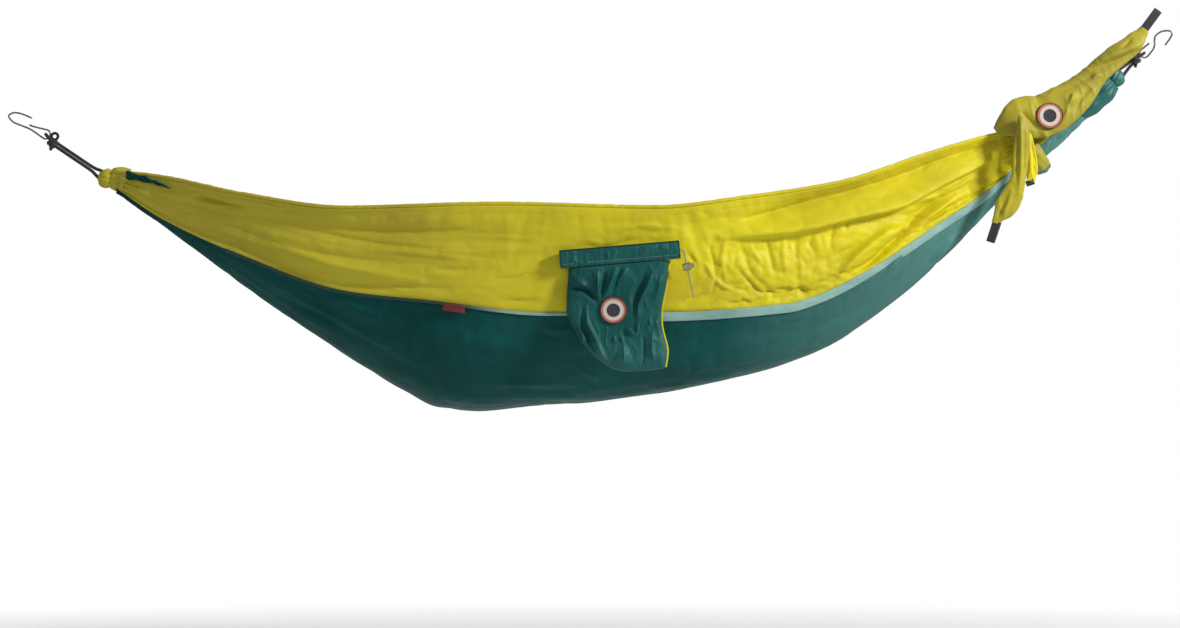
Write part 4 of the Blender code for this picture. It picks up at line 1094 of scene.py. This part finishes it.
def end_sleeve(name, end, material):
    """The gathered channel: bunched cloth, pleated lengthwise, slotted for the rope round its post."""
    (px, pz), (bx, bz) = end["post"], end["bulb"]
    away = np.array((bx - px, 0, bz - pz))
    away /= np.linalg.norm(away)
    up = np.array((-away[2], 0, away[0]))
    rows, sides = 60, 96
    t = np.linspace(0.02, 0.98, rows) * math.pi
    tt, aa = np.meshgrid(t, circle(sides), indexing="ij")
    pleat = pleated(aa * 6 + 1.2 * np.sin(tt * 2))
    lump = 1 + 0.13 * (pleat - 0.6) * np.sin(tt) + 0.07 * rough(tt, aa, 1.3, 1.7, 4.0)
    axis = -np.cos(tt)[..., None] * away * 0.0162
    ring = (np.cos(aa)[..., None] * up * 0.0168 + np.sin(aa)[..., None] * np.array((0, 1, 0)) * 0.013)
    grid = np.array((bx, 0, bz)) + axis + ring * (np.sin(tt) * lump)[..., None]
    bulb = closed_form(f"{name}_bunch", grid, material)
    gap = ROPE / 2 + 0.0006
    kx, kz = knot_middle(end)
    lean = math.atan2(kz - pz, kx - px)
    reach = 0.030
    pocket = tube("pocket", [(px, -gap, pz), (px, gap, pz)], 0.0126, material, 32, caps=False)
    way = block("way", (px + reach / 2 * math.cos(lean), 0, pz + reach / 2 * math.sin(lean)),
                (reach, 2 * gap, 0.028), lean)
    post = tube("post", [(px, -gap - 0.002, pz), (px, gap + 0.002, pz)], 0.0042, material, 24, caps=False)
    cut(bulb, ("DIFFERENCE", pocket), ("DIFFERENCE", way), ("UNION", post))
    adopt(bulb, [name])


def ruff(name, stations, material, seed):
    """Cloth bunched round an end of the hammock: stations are (x, z, half height, half depth)."""
    line = even([(x, 0, z, high, deep) for x, z, high, deep in stations], 70)
    turns = circle(84)
    way = np.gradient(line[:, [0, 2]], axis=0)
    way /= np.linalg.norm(way, axis=1, keepdims=True)
    q = np.linspace(0, 1, 70)[:, None]
    pleat = pleated(turns[None] * 6.5 + 0.9 * np.sin(3 * q + seed))
    lump = 1 + 0.16 * (pleat - 0.6) + 0.12 * rough(q + 0 * turns[None], turns[None] + 0 * q, 3.2, 1.4, seed)
    up = np.cos(turns)[None] * line[:, 3:4] * lump
    y = np.sin(turns)[None] * line[:, 4:5] * lump
    grid = np.stack([line[:, :1] - way[:, 1:] * up, y, line[:, 2:3] + way[:, :1] * up], -1)
    adopt(closed_form(name, grid, material))


def left_lining():
    """The green lining that shows between the two hems beside the left gather."""
    spine = even([(0.2080, -0.1045), (0.2280, -0.1095), (0.2570, -0.1175), (0.2870, -0.1285)], 60)
    q = np.linspace(0, 1, 60)
    high = 0.0062 * (1 - q) ** 0.8 * (1 + 0.30 * np.sin(q * 19)) + 0.0004
    s = np.linspace(-1, 1, 14)[None]
    z = spine[:, 1:2] + high[:, None] * s
    x = np.broadcast_to(spine[:, :1], z.shape)
    y = -half_width(x) - 0.0042 - 0.0015 * (1 - s**2) + 0.0010 * np.sin(6 * s + 30 * q[:, None])
    adopt(cloth_piece("left_lining_fold", np.stack([x, y, z], -1), GREEN, 0.0009))


def rope_loop(name, end):
    post, knot = Vector(end["post"]), Vector(knot_middle(end))
    along = (knot - post).normalized()
    across = Vector((-along.y, along.x))
    length = (knot - post).length - KNOT_RADIUS * 0.4
    reaches = [length, 0.5 * length + 0.014, 0.028, 0.015, 0.0045, -0.0045]
    spreads = [0.0031, 0.0031, 0.0033, 0.0055, 0.0076, 0.0070]
    half = list(zip(reaches, spreads))
    local = [*half, (-0.0084, 0), *[(a, -b) for a, b in reversed(half)]]
    line = even(flat([post + along * a + across * b for a, b in local]), 180)
    line[:, 1] += 0.0004 * np.sin(np.linspace(0, 26, 180))
    rope = tube(f"{name}_braid", line, ROPE / 2 * 0.985, ROPE_BRAID, 20)
    adopt(rope, [name], name)


def rope_knot(name, end, body):
    """The rope's knot: turns round the standing part, the bight that holds the hook, a side eye
    and a cut end."""
    eye, towards = Vector(end["eye"]), Vector(end["knot_towards"])
    across = Vector((towards.y, -towards.x)) * (1 if towards.x > 0 else -1)

    def place(back, up, y):
        spot = eye + towards * back + across * -up
        return spot.x, y, spot.y

    bend = 0.0056
    bight = [(0.0220, -bend), (0.0150, -bend)]
    bight += [(bend - bend * math.cos(t), bend * math.sin(t)) for t in np.radians(np.linspace(-90, 90, 9))]
    bight += [(0.0150, bend), (0.0220, bend)]
    bight = even([place(b, 0, y) for b, y in bight], 70)
    t = np.linspace(0, 2 * math.pi * 2.35, 130)
    back = 0.0128 + 0.0125 * t / t[-1]
    coil = [place(b, 0.0050 * math.cos(a) - 0.0022, 0.0054 * math.sin(a)) for a, b in zip(t, back)]
    crossing = [place(0.0140, -0.0060, -0.0040), place(0.0175, -0.0010, -0.0082),
                place(0.0220, 0.0052, -0.0050), place(0.0245, 0.0060, 0.0)]
    a = np.radians(np.linspace(0, 352, 48))
    ring = [place(0.0135 + 0.0056 * math.cos(k), 0.0098 + 0.0058 * math.sin(k), -0.0040) for k in a]
    stub = [place(0.0200, -0.0040, 0.002), place(0.0228, -0.0074, 0.0026), place(0.0255, -0.0105, 0.003)]
    lines = [("bight", bight, 0.0029, 16), ("turns", coil, 0.0029, 16),
             ("crossing", even(crossing, 40), 0.0027, 16), ("side_eye", ring, 0.0026, 14),
             ("end", even(stub, 14), 0.0030, 14)]
    pieces = [tube(f"{name}_{part}", line, radius, ROPE_BRAID, sides) for part, line, radius, sides in lines]
    adopt(joined(f"{name}_tied", pieces), [name], body)


def s_hook(name, end, shank, curl, tip, body):
    ex, ez = end["eye"]
    turns = np.radians(np.linspace(*curl, 25))
    arc = [(ex + EYE_RADIUS * math.cos(t), ez + EYE_RADIUS * math.sin(t)) for t in turns]
    line = spaced(flat([*route(shank)[:-1], *arc, *route(tip)]), 240)
    for _ in range(2):
        line[1:-1] = (line[:-2] + 2 * line[1:-1] + line[2:]) / 4
    wire = tube(f"{name}_wire", line, WIRE / 2, STEEL, 24)
    adopt(wire, [name], body)


# --- stuff pouch -----------------------------------------------------------------------------


def header_line(x, down=0.0):
    mx, mz = HEADER_MIDDLE
    return mz - HEADER_HEIGHT / 2 / math.cos(HEADER_TILT) + (x - mx) * math.tan(HEADER_TILT) - down


def coons(top, bottom, left, right, columns, rows):
    """A grid of (x, z) points between four curves that share their corners."""
    top, bottom = even(top, columns), even(bottom, columns)
    left, right = even(left, rows), even(right, rows)
    u, v = np.linspace(0, 1, columns)[None, :, None], np.linspace(0, 1, rows)[:, None, None]
    edges = (1 - v) * top[None] + v * bottom[None] + (1 - u) * left[:, None] + u * right[:, None]
    corners = ((1 - u) * (1 - v) * top[0] + u * (1 - v) * top[-1] + (1 - u) * v * bottom[0]
               + u * v * bottom[-1])
    return edges - corners


POUCH_ROWS = 150


def pouch_grid(grow=0.0):
    """Points over the bag's outline; grow moves its right edge out and the rest of it in."""
    tl, tr = [(x + grow, header_line(x, 0.0008)) for x in (0.9885, 1.1630)]
    bl, br = (1.0080 + grow, -0.3960 + grow), (1.1560 + grow, -0.4440 + grow * 0.7)
    return coons(
        [tl, (1.03, header_line(1.03, 0.0008)), (1.12, header_line(1.12, 0.0008)), tr],
        [bl, (1.0370 + grow, -0.4270 + grow), (1.0720, -0.4470 + grow), (1.1130, -0.4490 + grow), br],
        [tl, (0.9850 + grow, -0.3250), (0.9870 + grow, -0.3560), bl],
        [tr, (1.1580 + grow, -0.2980), (1.1500 + grow, -0.3400), (1.1500 + grow, -0.3720),
         (1.1590 + grow, -0.4110), br], POUCH_ROWS, POUCH_ROWS)


def pouch():
    spots = pouch_grid()
    x, z = spots[..., 0], spots[..., 1]
    v, u = np.meshgrid(np.linspace(0, 1, POUCH_ROWS), np.linspace(0, 1, POUCH_ROWS), indexing="ij")
    near_side = np.minimum(np.minimum(u, 1 - u) / 0.22, (1 - v) / 0.26)
    round_off = np.sqrt(np.clip(1 - (1 - np.clip(near_side, 0, 1)) ** 2, 0, 1))
    lift = relief(x, z, POUCH_FOLDS)
    lift += 0.0012 * (creased(x, z, 70, 34, 3.3) - 0.2) + 0.0014 * rough(x, z, 30, 16, 8.8)
    flat_patch = np.exp(-(((x - POUCH_PATCH[0]) ** 2 + (z - POUCH_PATCH[1]) ** 2) / 0.026**2) ** 2)
    lift *= (1 - 0.85 * flat_patch) * np.clip(near_side * 3, 0, 1) * np.clip(v / 0.03, 0.25, 1)
    grid = np.stack([x, -0.1905 - 0.0104 * round_off - lift, z], -1)
    front = cloth_piece("pouch_front_cloth", grid, POUCH_GREEN, CLOTH_THICKNESS, True)
    adopt(front, ["pouch_front"], "pouch")
    spots = pouch_grid(0.0028)
    x, z = spots[..., 0], spots[..., 1]
    y = np.full_like(x, -0.1897) + 0.0004 * rough(x, z, 40, 30, 2.2)
    grid = np.stack([x, y, z], -1)
    back = cloth_piece("pouch_back_cloth", grid, YELLOW, 0.0010, True)
    adopt(back, ["pouch_back"], "pouch")
    edge = even([(1.1600, header_line(1.1600, 0.002)), (1.1552, -0.2990), (1.1474, -0.3400),
                 (1.1474, -0.3720), (1.1563, -0.4105), (1.1535, -0.4405)], 120)
    stitches("pouch_edge_stitches", flat(edge, -0.1925), np.tile((0, -1.0, 0), (120, 1)), PALE_THREAD,
             0.0036, 0.0024, body="pouch")


def round_patch(name, middle, out, body, stands=0.0012):
    """A round embroidered patch: a domed disc with an overstitched rim."""
    material = patch_material(f"{name}_stitch", (middle[0], 0.0, middle[2]))
    middle, out = np.array(middle, float), np.array(out, float)
    side = np.cross(out, (0, 0, 1))
    side /= np.linalg.norm(side)
    up = np.cross(side, out)
    radii = np.concatenate([np.linspace(0.0004, 0.92, 26), np.linspace(0.935, 1.0, 8)]) * PATCH_RADIUS
    turns = circle(96)
    share = radii / PATCH_RADIUS
    rise = 0.00045 * (share < 0.48) * (share > 0.36) + 0.0005 * np.exp(-((share - 0.95) / 0.045) ** 2)
    rise = np.where(share > 0.985, rise - (share - 0.985) * 0.05, rise)
    ring = np.cos(turns)[None, :, None] * side + np.sin(turns)[None, :, None] * up
    cord_edge = 1 + 0.004 * (share > 0.92)[:, None] * np.sin(turns * 90)[None]
    grid = middle + ring * (radii[:, None] * cord_edge)[..., None] + out * (stands + rise)[:, None, None]
    skirt = middle + ring[0:1] * PATCH_RADIUS + out * (stands - 0.0012)
    grid = np.concatenate([grid, skirt], axis=0)
    adopt(closed_form(f"{name}_stitched", grid[::-1], material), [name], body)


def header():
    """The casing round the pouch's mouth, drawn up by its cord and creased."""
    mx, mz = HEADER_MIDDLE
    rows, sides = 260, 64
    along = np.linspace(-HEADER_LENGTH / 2, HEADER_LENGTH / 2, rows)
    turns = circle(sides)
    cz = squared_off(np.cos(turns), 0.45) * (HEADER_HEIGHT / 2)
    cy = squared_off(np.sin(turns), 0.6) * 0.0073
    round_end = np.clip(np.minimum(along + HEADER_LENGTH / 2, HEADER_LENGTH / 2 - along) / 0.0035, 0, 1)
    shrink = 0.80 + 0.20 * np.sqrt(1 - (1 - round_end) ** 2)
    c, s = math.cos(HEADER_TILT), math.sin(HEADER_TILT)
    zz = cz[None] * shrink[:, None]
    x = mx + along[:, None] * c - zz * s
    z = mz + along[:, None] * s + zz * c
    y = HEADER_Y - cy[None] * shrink[:, None]
    facing = np.clip(np.sin(turns) * 1.6, 0, 1)[None]
    lift = relief(x, z, HEADER_FOLDS) + 0.0009 * (creased(x, z, 95, 30, 6.1) - 0.2)
    lift += 0.0011 * rough(x, z, 70, 12, 1.9)
    lift -= 0.0011 * np.exp(-((cz[None] + 0.0085) / 0.0012) ** 2)
    y = y - np.maximum(lift + 0.0004, -0.0004) * facing * round_end[:, None]
    casing = closed_form("pouch_header_cloth", np.stack([x, y, z], -1), POUCH_GREEN)
    mouth = block("mouth", (mx, HEADER_Y, mz), (0.160, 0.005, 2 * HEADER_HEIGHT), HEADER_TILT)
    cut(casing, ("DIFFERENCE", mouth))
    adopt(casing, ["pouch_header"])

    def on_face(a, up, y):
        return mx + a * c - up * s, y, mz + a * s + up * c

    top = [on_face(a, 0.0150, -0.2014) for a in np.linspace(-0.103, 0.103, 90)]
    end = [on_face(0.1035, up, -0.2025) for up in np.linspace(0.0148, -0.0135, 24)]
    adopt(tube("header_welt", spaced([*top, *end], 180), 0.0014, BINDING, 10))
    run = [on_face(a, -0.0085, -0.2034) for a in np.linspace(-0.1, 0.1, 120)]
    stitches("header_stitches", run, np.tile((0, -1.0, 0), (120, 1)), PALE_THREAD,
             0.0034, 0.0024)


def drawstring():
    half = HEADER_LENGTH / 2
    back_y = POUCH_BACK - 0.0024
    middle = (CORD_FRONT + back_y) / 2
    front = [in_header(a, CORD_FRONT) for a in (half - 0.0004, half - 0.010, 0.06, 0.0, -0.06, -0.092)]
    turn = [in_header(-0.0965, CORD_FRONT + 0.0022), in_header(-0.0985, middle),
            in_header(-0.0965, back_y - 0.0022)]
    rear = [in_header(a, back_y) for a in (-0.092, -0.06, 0.0, 0.06, half - 0.016)]
    cord = tube("drawstring_braid", even([*front, *turn, *rear], 160), DRAWSTRING / 2 * 0.98, DRAW_BRAID, 12)
    adopt(cord, ["drawstring"])


def cord_lock():
    slope = np.array(lock_slope())
    side = np.array((-slope[2], 0, slope[0]))
    middle = np.array((LOCK[0], CORD_FRONT, LOCK[1]))
    length = 0.0150
    s = np.linspace(0, 1, 46)
    rim = np.clip(np.minimum(s, 1 - s) / 0.09, 0, 1)
    ribs = 0.00028 * np.sin(s * 2 * math.pi * 7) * (s > 0.2) * (s < 0.8)
    radii = 0.0070 - 0.0012 * (1 - np.sqrt(1 - (1 - rim) ** 2)) - 0.00028 + ribs
    line = [middle - side * length / 2 + side * length * k for k in s]
    barrel = tube("cord_lock_barrel", line, radii, PLASTIC, 48, caps=False)
    left, right = middle - side * length / 2, middle + side * length / 2
    well = bar("well", left + side * 0.0022, right + side * 0.01, 0.0044, PLASTIC, 32)
    way = bar("way", middle - slope * 0.012, middle + slope * 0.012, 0.0020, PLASTIC, 24)
    cut(barrel, ("DIFFERENCE", well), ("DIFFERENCE", way))
    adopt(barrel, ["cord_lock"], "cord_lock")
    button = bar("lock_button_stem", left + side * 0.0061, right + side * 0.0055, 0.0040, PLASTIC, 40)
    slot_box = block("button_way", tuple(middle + side * 0.00175), (0.0075, 0.0040, 0.02),
                     math.atan2(side[2], side[0]))
    cut(button, ("DIFFERENCE", slot_box))
    adopt(button, ["lock_button"], "lock_button")


# --- pillow tied on --------------------------------------------------------------------------

# Stations of the stuffed and bunched pieces: x, y, z, half width, half thickness, roll in degrees.
PILLOW_TIP = (2.0030, -0.0300, 0.1520, 0.0085, 0.0040, 12)
PILLOW_DRAPE = [(1.7400, -0.0480, -0.0300, 0.009, 0.004, 12), (1.7600, -0.0560, -0.0170, 0.024, 0.008, 12),
                (1.7850, -0.0580, -0.0050, 0.037, 0.010, 12)]
PILLOW = [(1.7960, -0.0545, -0.0100, 0.026, 0.007, 12), (1.8170, -0.0520, -0.0035, 0.038, 0.012, 12),
          (1.8450, -0.0490, 0.0090, 0.038, 0.014, 12), (1.8830, -0.0440, 0.0368, 0.031, 0.013, 12),
          (1.9180, -0.0380, 0.0735, 0.021, 0.011, 12), (1.9530, -0.0345, 0.1033, 0.020, 0.010, 12),
          (1.9800, -0.0320, 0.1240, 0.018, 0.009, 12), (1.9955, -0.0300, 0.1415, 0.0120, 0.005, 12)]
PILLOW_SHAPE = {"crumple": 0.0016, "scale": 42}
KNOT_MIDDLE = (1.7945, 0.0, -0.0500)
KNOT_LEAN = math.radians(37)
LONG_TAIL = [(1.7824, -0.0810, -0.0035, 0.006, 0.004, 0), (1.7833, -0.0822, -0.0368, 0.0125, 0.006, 0),
             (1.7806, -0.0820, -0.0718, 0.014, 0.006, 0), (1.7771, -0.0800, -0.1085, 0.013, 0.006, 0),
             (1.7658, -0.0780, -0.1418, 0.0185, 0.0055, 0), (1.7535, -0.0765, -0.1645, 0.019, 0.005, 0),
             (1.7405, -0.0755, -0.1830, 0.009, 0.004, 0), (1.7378, -0.0755, -0.1915, 0.0078, 0.0036, 0)]
SHORT_TAIL = [(1.7920, -0.0670, -0.0245, 0.006, 0.003, 0), (1.7980, -0.0670, -0.0630, 0.0095, 0.0042, 0),
              (1.8016, -0.0660, -0.0945, 0.010, 0.0045, 0), (1.7999, -0.0650, -0.1120, 0.008, 0.0035, 0),
              (1.7990, -0.0690, -0.1165, 0.0070, 0.0030, 0)]


def knot_arc(name, material, start, stop):
    """A stretch of the bunched cloth that goes round the neck, with folds running along it."""
    middle = np.array(KNOT_MIDDLE)
    axis = np.array((math.cos(KNOT_LEAN), 0, math.sin(KNOT_LEAN)))
    up = np.array((-axis[2], 0, axis[0]))
    out = np.array((0, -1.0, 0))
    sides, rows = 48, 130
    t = np.radians(np.linspace(start, stop, rows))[:, None]
    s = circle(sides)[None]
    high = squared_off(np.cos(t), 0.7) * 0.0535
    near_y = squared_off(np.sin(t), 0.7) * 0.047
    reach = high[..., None] * up + near_y[..., None] * out
    radial = np.cos(t)[..., None] * up + np.sin(t)[..., None] * out
    twist = s + 0.55 * np.sin(t * 1.5)
    pleat = pleated(twist * 3)
    lump = 1 + 0.16 * (pleat - 0.6) + 0.08 * rough(t + 0 * s, s + 0 * t, 3, 1.3, 6.6)
    grid = (middle + reach + radial * (0.008 * lump * np.cos(s))[..., None]
            + axis * (0.014 * lump * np.sin(s))[..., None])
    adopt(closed_form(f"{name}_bunch", grid, material), [name])


def webbing_loop(name, start, end, turn):
    """Webbing folded in two, with two rows of stitches near its root."""
    a, b = Vector(start), Vector(end)
    way = (b - a).normalized()
    out = Matrix.Rotation(math.radians(turn), 3, way) @ Vector((0, 1, 0))
    side = way.cross(out)
    length, reach = (b - a).length, 0.0020
    turns = np.radians(np.linspace(90, -90, 15))
    line = [(0, reach), (length * 0.3, reach), (length * 0.6, reach + 0.0003)]
    line += [(length - 0.0035 + 0.0035 * math.cos(t), reach * math.sin(t)) for t in turns]
    line += [(length * 0.6, -reach - 0.0002), (length * 0.3, -reach), (0, -reach)]
    line = spaced(line, 80)
    grid = np.array([[a + way * s + out * (o + 0.0003 * math.sin(w * 260 + s * 90)) + side * w
                      for w in np.linspace(-WEBBING_WIDTH / 2, WEBBING_WIDTH / 2, 16)] for s, o in line])
    adopt(cloth_piece(f"{name}_strap", grid, WEBBING, 0.0016, offset=0.0), [name], name)
    for k, w in enumerate((-WEBBING_WIDTH * 0.34, WEBBING_WIDTH * 0.34)):
        run = [a + way * s + side * w - out * 0.0031 for s in np.linspace(0.003, length * 0.45, 20)]
        stitches(f"{name}_stitches_{k}", run, np.tile(-np.array(out), (20, 1)), BLACK_THREAD,
                 0.003, 0.0021, body=name)


def pillow():
    front = loft("pillow_front_cloth", [*PILLOW_DRAPE, *PILLOW[1:], PILLOW_TIP], SHADED_YELLOW_NYLON, PILLOW_FOLDS, -1,
                 200, 96, **PILLOW_SHAPE)
    adopt(front, ["pillow_front"])
    back = loft("pillow_back_cloth", PILLOW, GREEN, (), 1, 160, 80, **PILLOW_SHAPE)
    adopt(back, ["pillow_back"])
    knot_arc("knot_band", SHADED_YELLOW_NYLON, -25, 150)
    knot_arc("knot_underside", GREEN, 151, 334)
    short = loft("short_tail_cloth", SHORT_TAIL, YELLOW, SHORT_TAIL_FOLDS, None, 100, 40, 0.0009, 70)
    adopt(short, ["short_tail"])
    long_piece = loft("long_tail_cloth", LONG_TAIL, SHADED_YELLOW_NYLON, LONG_TAIL_FOLDS, None, 150, 52, 0.0012, 60)
    adopt(long_piece, ["long_tail"], "long_tail")
    webbing_loop("top_webbing", (1.9990, -0.0300, 0.1475), (2.0265, -0.0300, 0.1850), 0)
    webbing_loop("tail_webbing", (1.7398, -0.0755, -0.1880), (1.7280, -0.0755, -0.2235), 20)
    tip = Vector((1.7980, -0.0690, -0.1196))
    piece = block("short_tail_tip_weave", tip, (0.0150, 0.0040, 0.0100), math.radians(18), WEBBING)
    round_edges = piece.modifiers.new("edges", "BEVEL")
    round_edges.width, round_edges.segments = 0.0010, 3
    adopt(piece, ["short_tail_tip"])


# --- room ------------------------------------------------------------------------------------


def area_light(name, place, aim, power, size, colour):
    lamp = bpy.data.lights.new(name, "AREA")
    lamp.energy, lamp.size, lamp.color = power, size, colour
    holder = bpy.data.objects.new(name, lamp)
    bpy.context.scene.collection.objects.link(holder)
    holder.location = place
    holder.rotation_euler = (Vector(aim) - Vector(place)).to_track_quat("-Z", "Y").to_euler()
    return holder


FLOOR_RADIUS, FLOOR_Z = 3.4, -0.98
LIGHTS = [  # name, place, aim, watts, size, colour
    ("key", (4.1, -1.85, 1.35), (1.3, 0, -0.25), 142, 0.5, (1.0, 0.985, 0.96)),
    ("fill", (-1.2, -3.0, 1.8), (0.7, 0, -0.3), 16, 2.0, (0.95, 0.98, 1.0)),
    ("back", (0.6, 3.4, 2.0), (1.0, 0, -0.2), 40, 2.4, (1, 1, 1)),
]
SKY_SHOWN, SKY_LIGHT = 1.0, 0.24  # the brightness that the camera sees, and that falls on the object


def studio():
    paint = Nodes("floor_paint", (0.97, 0.97, 0.97), 0.9)
    apart = paint.add("ShaderNodeVectorMath", {0: paint.where()}, operation="LENGTH").outputs["Value"]
    fade = paint.ramp(paint.math("DIVIDE", apart, FLOOR_RADIUS), [(0.33, (1, 1, 1)), (0.72, (0, 0, 0))])
    paint.tree.links.new(fade, paint.shader.inputs["Alpha"])
    work = bmesh.new()
    bmesh.ops.create_circle(work, cap_ends=True, segments=96, radius=FLOOR_RADIUS)
    floor = from_bmesh("floor", work, paint.material)
    floor.location = (1.0, 0, FLOOR_Z)
    lights = [area_light(*light) for light in LIGHTS]
    world = bpy.data.worlds.new("room")
    bpy.context.scene.world = world
    world.use_nodes = True
    tree = world.node_tree
    shown, lit = tree.nodes["Background"], tree.nodes.new("ShaderNodeBackground")
    for background, strength in ((shown, SKY_SHOWN), (lit, SKY_LIGHT)):
        background.inputs["Color"].default_value = (1, 1, 1, 1)
        background.inputs["Strength"].default_value = strength
    path, mix = tree.nodes.new("ShaderNodeLightPath"), tree.nodes.new("ShaderNodeMixShader")
    tree.links.new(path.outputs["Is Camera Ray"], mix.inputs[0])
    tree.links.new(lit.outputs[0], mix.inputs[1])
    tree.links.new(shown.outputs[0], mix.inputs[2])
    tree.links.new(mix.outputs[0], tree.nodes["World Output"].inputs["Surface"])
    bpy.context.scene.view_settings.view_transform = "Standard"


# --- the whole object ------------------------------------------------------------------------

camera()
tail, tail_exit, tail_length, tail_path = drawstring_tail()
near, far = side_panel("near_side_panel", -1), side_panel("far_side_panel", 1)
centre = centre_panel()
for side_name, side in (("near", -1), ("far", 1)):
    seam_band(f"{side_name}_seam_band", side)
    hem(f"{side_name}_hem", side)
seam_tag()
end_sleeve("left_end_sleeve", LEFT, YELLOW)
end_sleeve("right_end_sleeve", RIGHT, LIT_GREEN_NYLON)
ruff("left_gather_ruff", [(0.1775, -0.1120, 0.0150, 0.0125), (0.1850, -0.1120, 0.0185, 0.0150),
                          (0.1960, -0.1120, 0.0200, 0.0172), (0.2060, -0.1160, 0.0225, 0.0200)],
     YELLOW, 1.7)
ruff("right_gather_ruff", [(1.8900, 0.0060, 0.0160, 0.0180), (1.9100, 0.0260, 0.0230, 0.0200),
                           (1.9300, 0.0470, 0.0250, 0.0190), (1.9455, 0.0620, 0.0190, 0.0150)],
     LIT_GREEN_NYLON, 4.9)
left_lining()
for side_name, end in (("left", LEFT), ("right", RIGHT)):
    rope_loop(f"{side_name}_rope", end)
    rope_knot(f"{side_name}_rope_knot", end, f"{side_name}_rope")
s_hook("left_s_hook", LEFT, LEFT_HOOK, LEFT_CURL, LEFT_HOOK_END, "left_hook")
s_hook("right_s_hook", RIGHT, RIGHT_HOOK, RIGHT_CURL, RIGHT_HOOK_END, "right_hook")
header()
pouch()
round_patch("pouch_patch", (POUCH_PATCH[0], POUCH_FRONT - 0.0003, POUCH_PATCH[1]), (0, -1, 0), "pouch")
drawstring()
cord_lock()
pillow()
lean = math.radians(12)
round_patch("pillow_patch", (PILLOW_PATCH[0], -0.0672, PILLOW_PATCH[1]), (0, -math.cos(lean), math.sin(lean)),
            "hammock")

studio()
